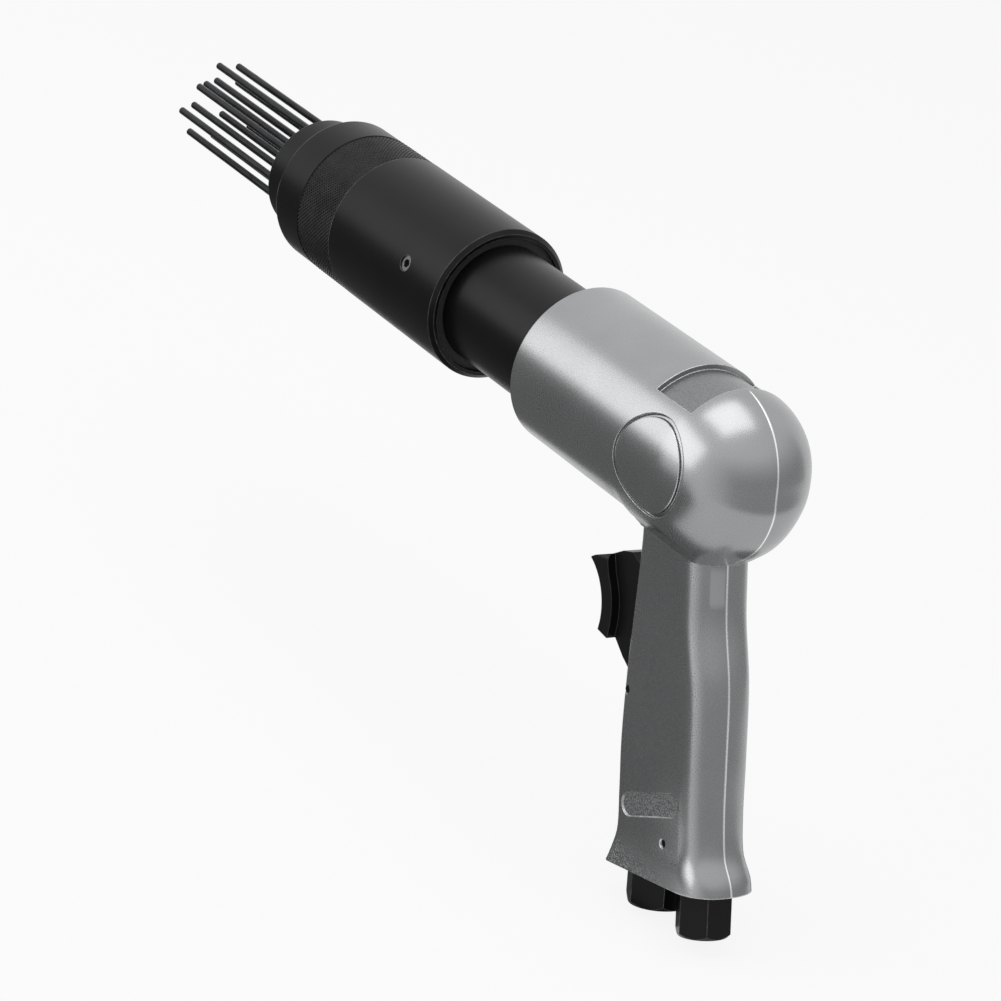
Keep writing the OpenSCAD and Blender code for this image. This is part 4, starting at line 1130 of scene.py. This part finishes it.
def stand_card(name, floor, top, start, end, shade, fades=False):
    """Curved card that stands round the tool from one azimuth to another, in degrees."""
    card = add_object(name, bpy.ops.mesh.primitive_cylinder_add, vertices=120,
                      radius=CARD_DISTANCE, depth=top - floor, end_fill_type="NOTHING",
                      location=(LIGHT_CENTRE[0], LIGHT_CENTRE[1], (top + floor) / 2))
    bpy.ops.object.mode_set(mode="EDIT")
    bpy.ops.mesh.select_all(action="DESELECT")
    bpy.ops.mesh.select_mode(type="FACE")
    mesh = bmesh.from_edit_mesh(card.data)
    for face in mesh.faces:
        centre = face.calc_center_median()
        turn = math.degrees(math.atan2(centre.y, centre.x))
        face.select = (turn - start) % 360 > end - start
    mesh.select_flush_mode()
    bmesh.update_edit_mesh(card.data)
    bpy.ops.mesh.delete(type="FACE")
    bpy.ops.object.mode_set(mode="OBJECT")
    only_reflected(card, shade, fades)


def soft_light(name, azimuth, elevation, wide, high, level):
    """Soft light that faces the tool from a direction in degrees, at a level where 1 is white."""
    turn, rise = math.radians(azimuth), math.radians(elevation)
    away = Vector((math.cos(rise) * math.cos(turn), math.cos(rise) * math.sin(turn), math.sin(rise)))
    light = add_object(name, bpy.ops.object.light_add, type="AREA",
                       location=Vector(LIGHT_CENTRE) + away * LIGHT_DISTANCE,
                       rotation=away.to_track_quat("Z", "Y").to_euler())
    light.data.shape = "RECTANGLE"
    light.data.size = wide
    light.data.size_y = high
    light.data.energy = level * math.pi * wide * high


def camera_turn(azimuth, elevation, roll):
    """Rotation of a camera that looks at the tool from an azimuth and elevation."""
    back = Vector((math.sin(azimuth) * math.cos(elevation), -math.cos(azimuth) * math.cos(elevation),
                   math.sin(elevation)))
    side = (-back).cross(Vector((0, 0, 1))).normalized()
    up = side.cross(-back)
    right = math.cos(roll) * side + math.sin(roll) * up
    top = math.cos(roll) * up - math.sin(roll) * side
    return Matrix((right, top, back)).transposed(), back


class SCALER_OT_stage(bpy.types.Operator):
    """Set up the floor, the soft light, the white background and the camera"""
    bl_idname = "scaler.stage"
    bl_label = "Stage"

    def execute(self, context):
        stage = context.scene.scaler_stage
        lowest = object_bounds()[0][2]
        floor = add_object("floor", bpy.ops.mesh.primitive_circle_add, vertices=96,
                           radius=stage.floor_radius, fill_type="NGON", location=(0, 0, lowest))
        floor.data.materials.append(pale_floor())
        floor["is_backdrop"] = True
        context.scene.world = white_world(stage.world_level)
        lay_card("dark_card", 0.18, 0.55, radius=0.62, height=lowest + 1 * MM, shade=0.17)
        lay_card("near_card", -0.2, -0.03, radius=0.11, height=lowest + 2 * MM, shade=0.15)
        stand_card("low_card", lowest, top=0, start=-5, end=60, shade=0.2)
        stand_card("grey_card", lowest, top=0.56, start=120, end=268, shade=0.45, fades=True)
        soft_light("key_light", 71, 24, wide=2.0, high=1.0, level=stage.key_level)
        soft_light("top_light", 90, 85, wide=1.2, high=1.2, level=stage.top_level)
        turn, back = camera_turn(stage.azimuth, stage.elevation, stage.roll)
        camera = add_object("photo_camera", bpy.ops.object.camera_add,
                            location=Vector(stage.look_at) + back * stage.distance,
                            rotation=turn.to_euler())
        camera.data.sensor_width = 36
        camera.data.lens = stage.lens
        camera.data.clip_end = 30
        context.scene.camera = camera
        context.scene.view_settings.view_transform = "Standard"
        return {"FINISHED"}


class SCALER_PT_panel(bpy.types.Panel):
    """Sizes, colours and steps of the needle scaler"""
    bl_idname = "SCALER_PT_panel"
    bl_label = "Needle Scaler"
    bl_space_type = "VIEW_3D"
    bl_region_type = "UI"
    bl_category = "Needle Scaler"

    def draw(self, context):
        scene = context.scene
        for setting in GROUPS:
            group = getattr(scene, setting)
            box = self.layout.box()
            for name in group.__annotations__:
                box.prop(group, name)
        for operator in OPERATORS:
            self.layout.operator(operator.bl_idname)


GROUPS = {
    "scaler_housing": ScalerHousing,
    "scaler_ring": ScalerRing,
    "scaler_trigger": ScalerTrigger,
    "scaler_finish": ScalerFinish,
    "scaler_stage": ScalerStage,
}
OPERATORS = [
    SCALER_OT_housing, SCALER_OT_ring, SCALER_OT_trigger, SCALER_OT_black_parts,
    SCALER_OT_needles, SCALER_OT_inner_parts, SCALER_OT_return_spring, SCALER_OT_stage,
]
CLASSES = list(GROUPS.values()) + OPERATORS + [SCALER_PT_panel]


def register():
    """Registers the classes and their settings on the scene."""
    for item in CLASSES:
        bpy.utils.register_class(item)
    for name, group in GROUPS.items():
        setattr(bpy.types.Scene, name, PointerProperty(type=group))


def unregister():
    """Removes the settings and the classes."""
    for name in GROUPS:
        delattr(bpy.types.Scene, name)
    for item in reversed(CLASSES):
        bpy.utils.unregister_class(item)


def main():
    """Builds the dressed tool step by step."""
    register()
    bpy.ops.scaler.housing()
    bpy.ops.scaler.ring()
    bpy.ops.scaler.trigger()
    bpy.ops.scaler.black_parts()
    bpy.ops.scaler.needles()
    bpy.ops.scaler.inner_parts()
    bpy.ops.scaler.return_spring()
    bpy.ops.scaler.stage()


if __name__ == "__main__":
    main()
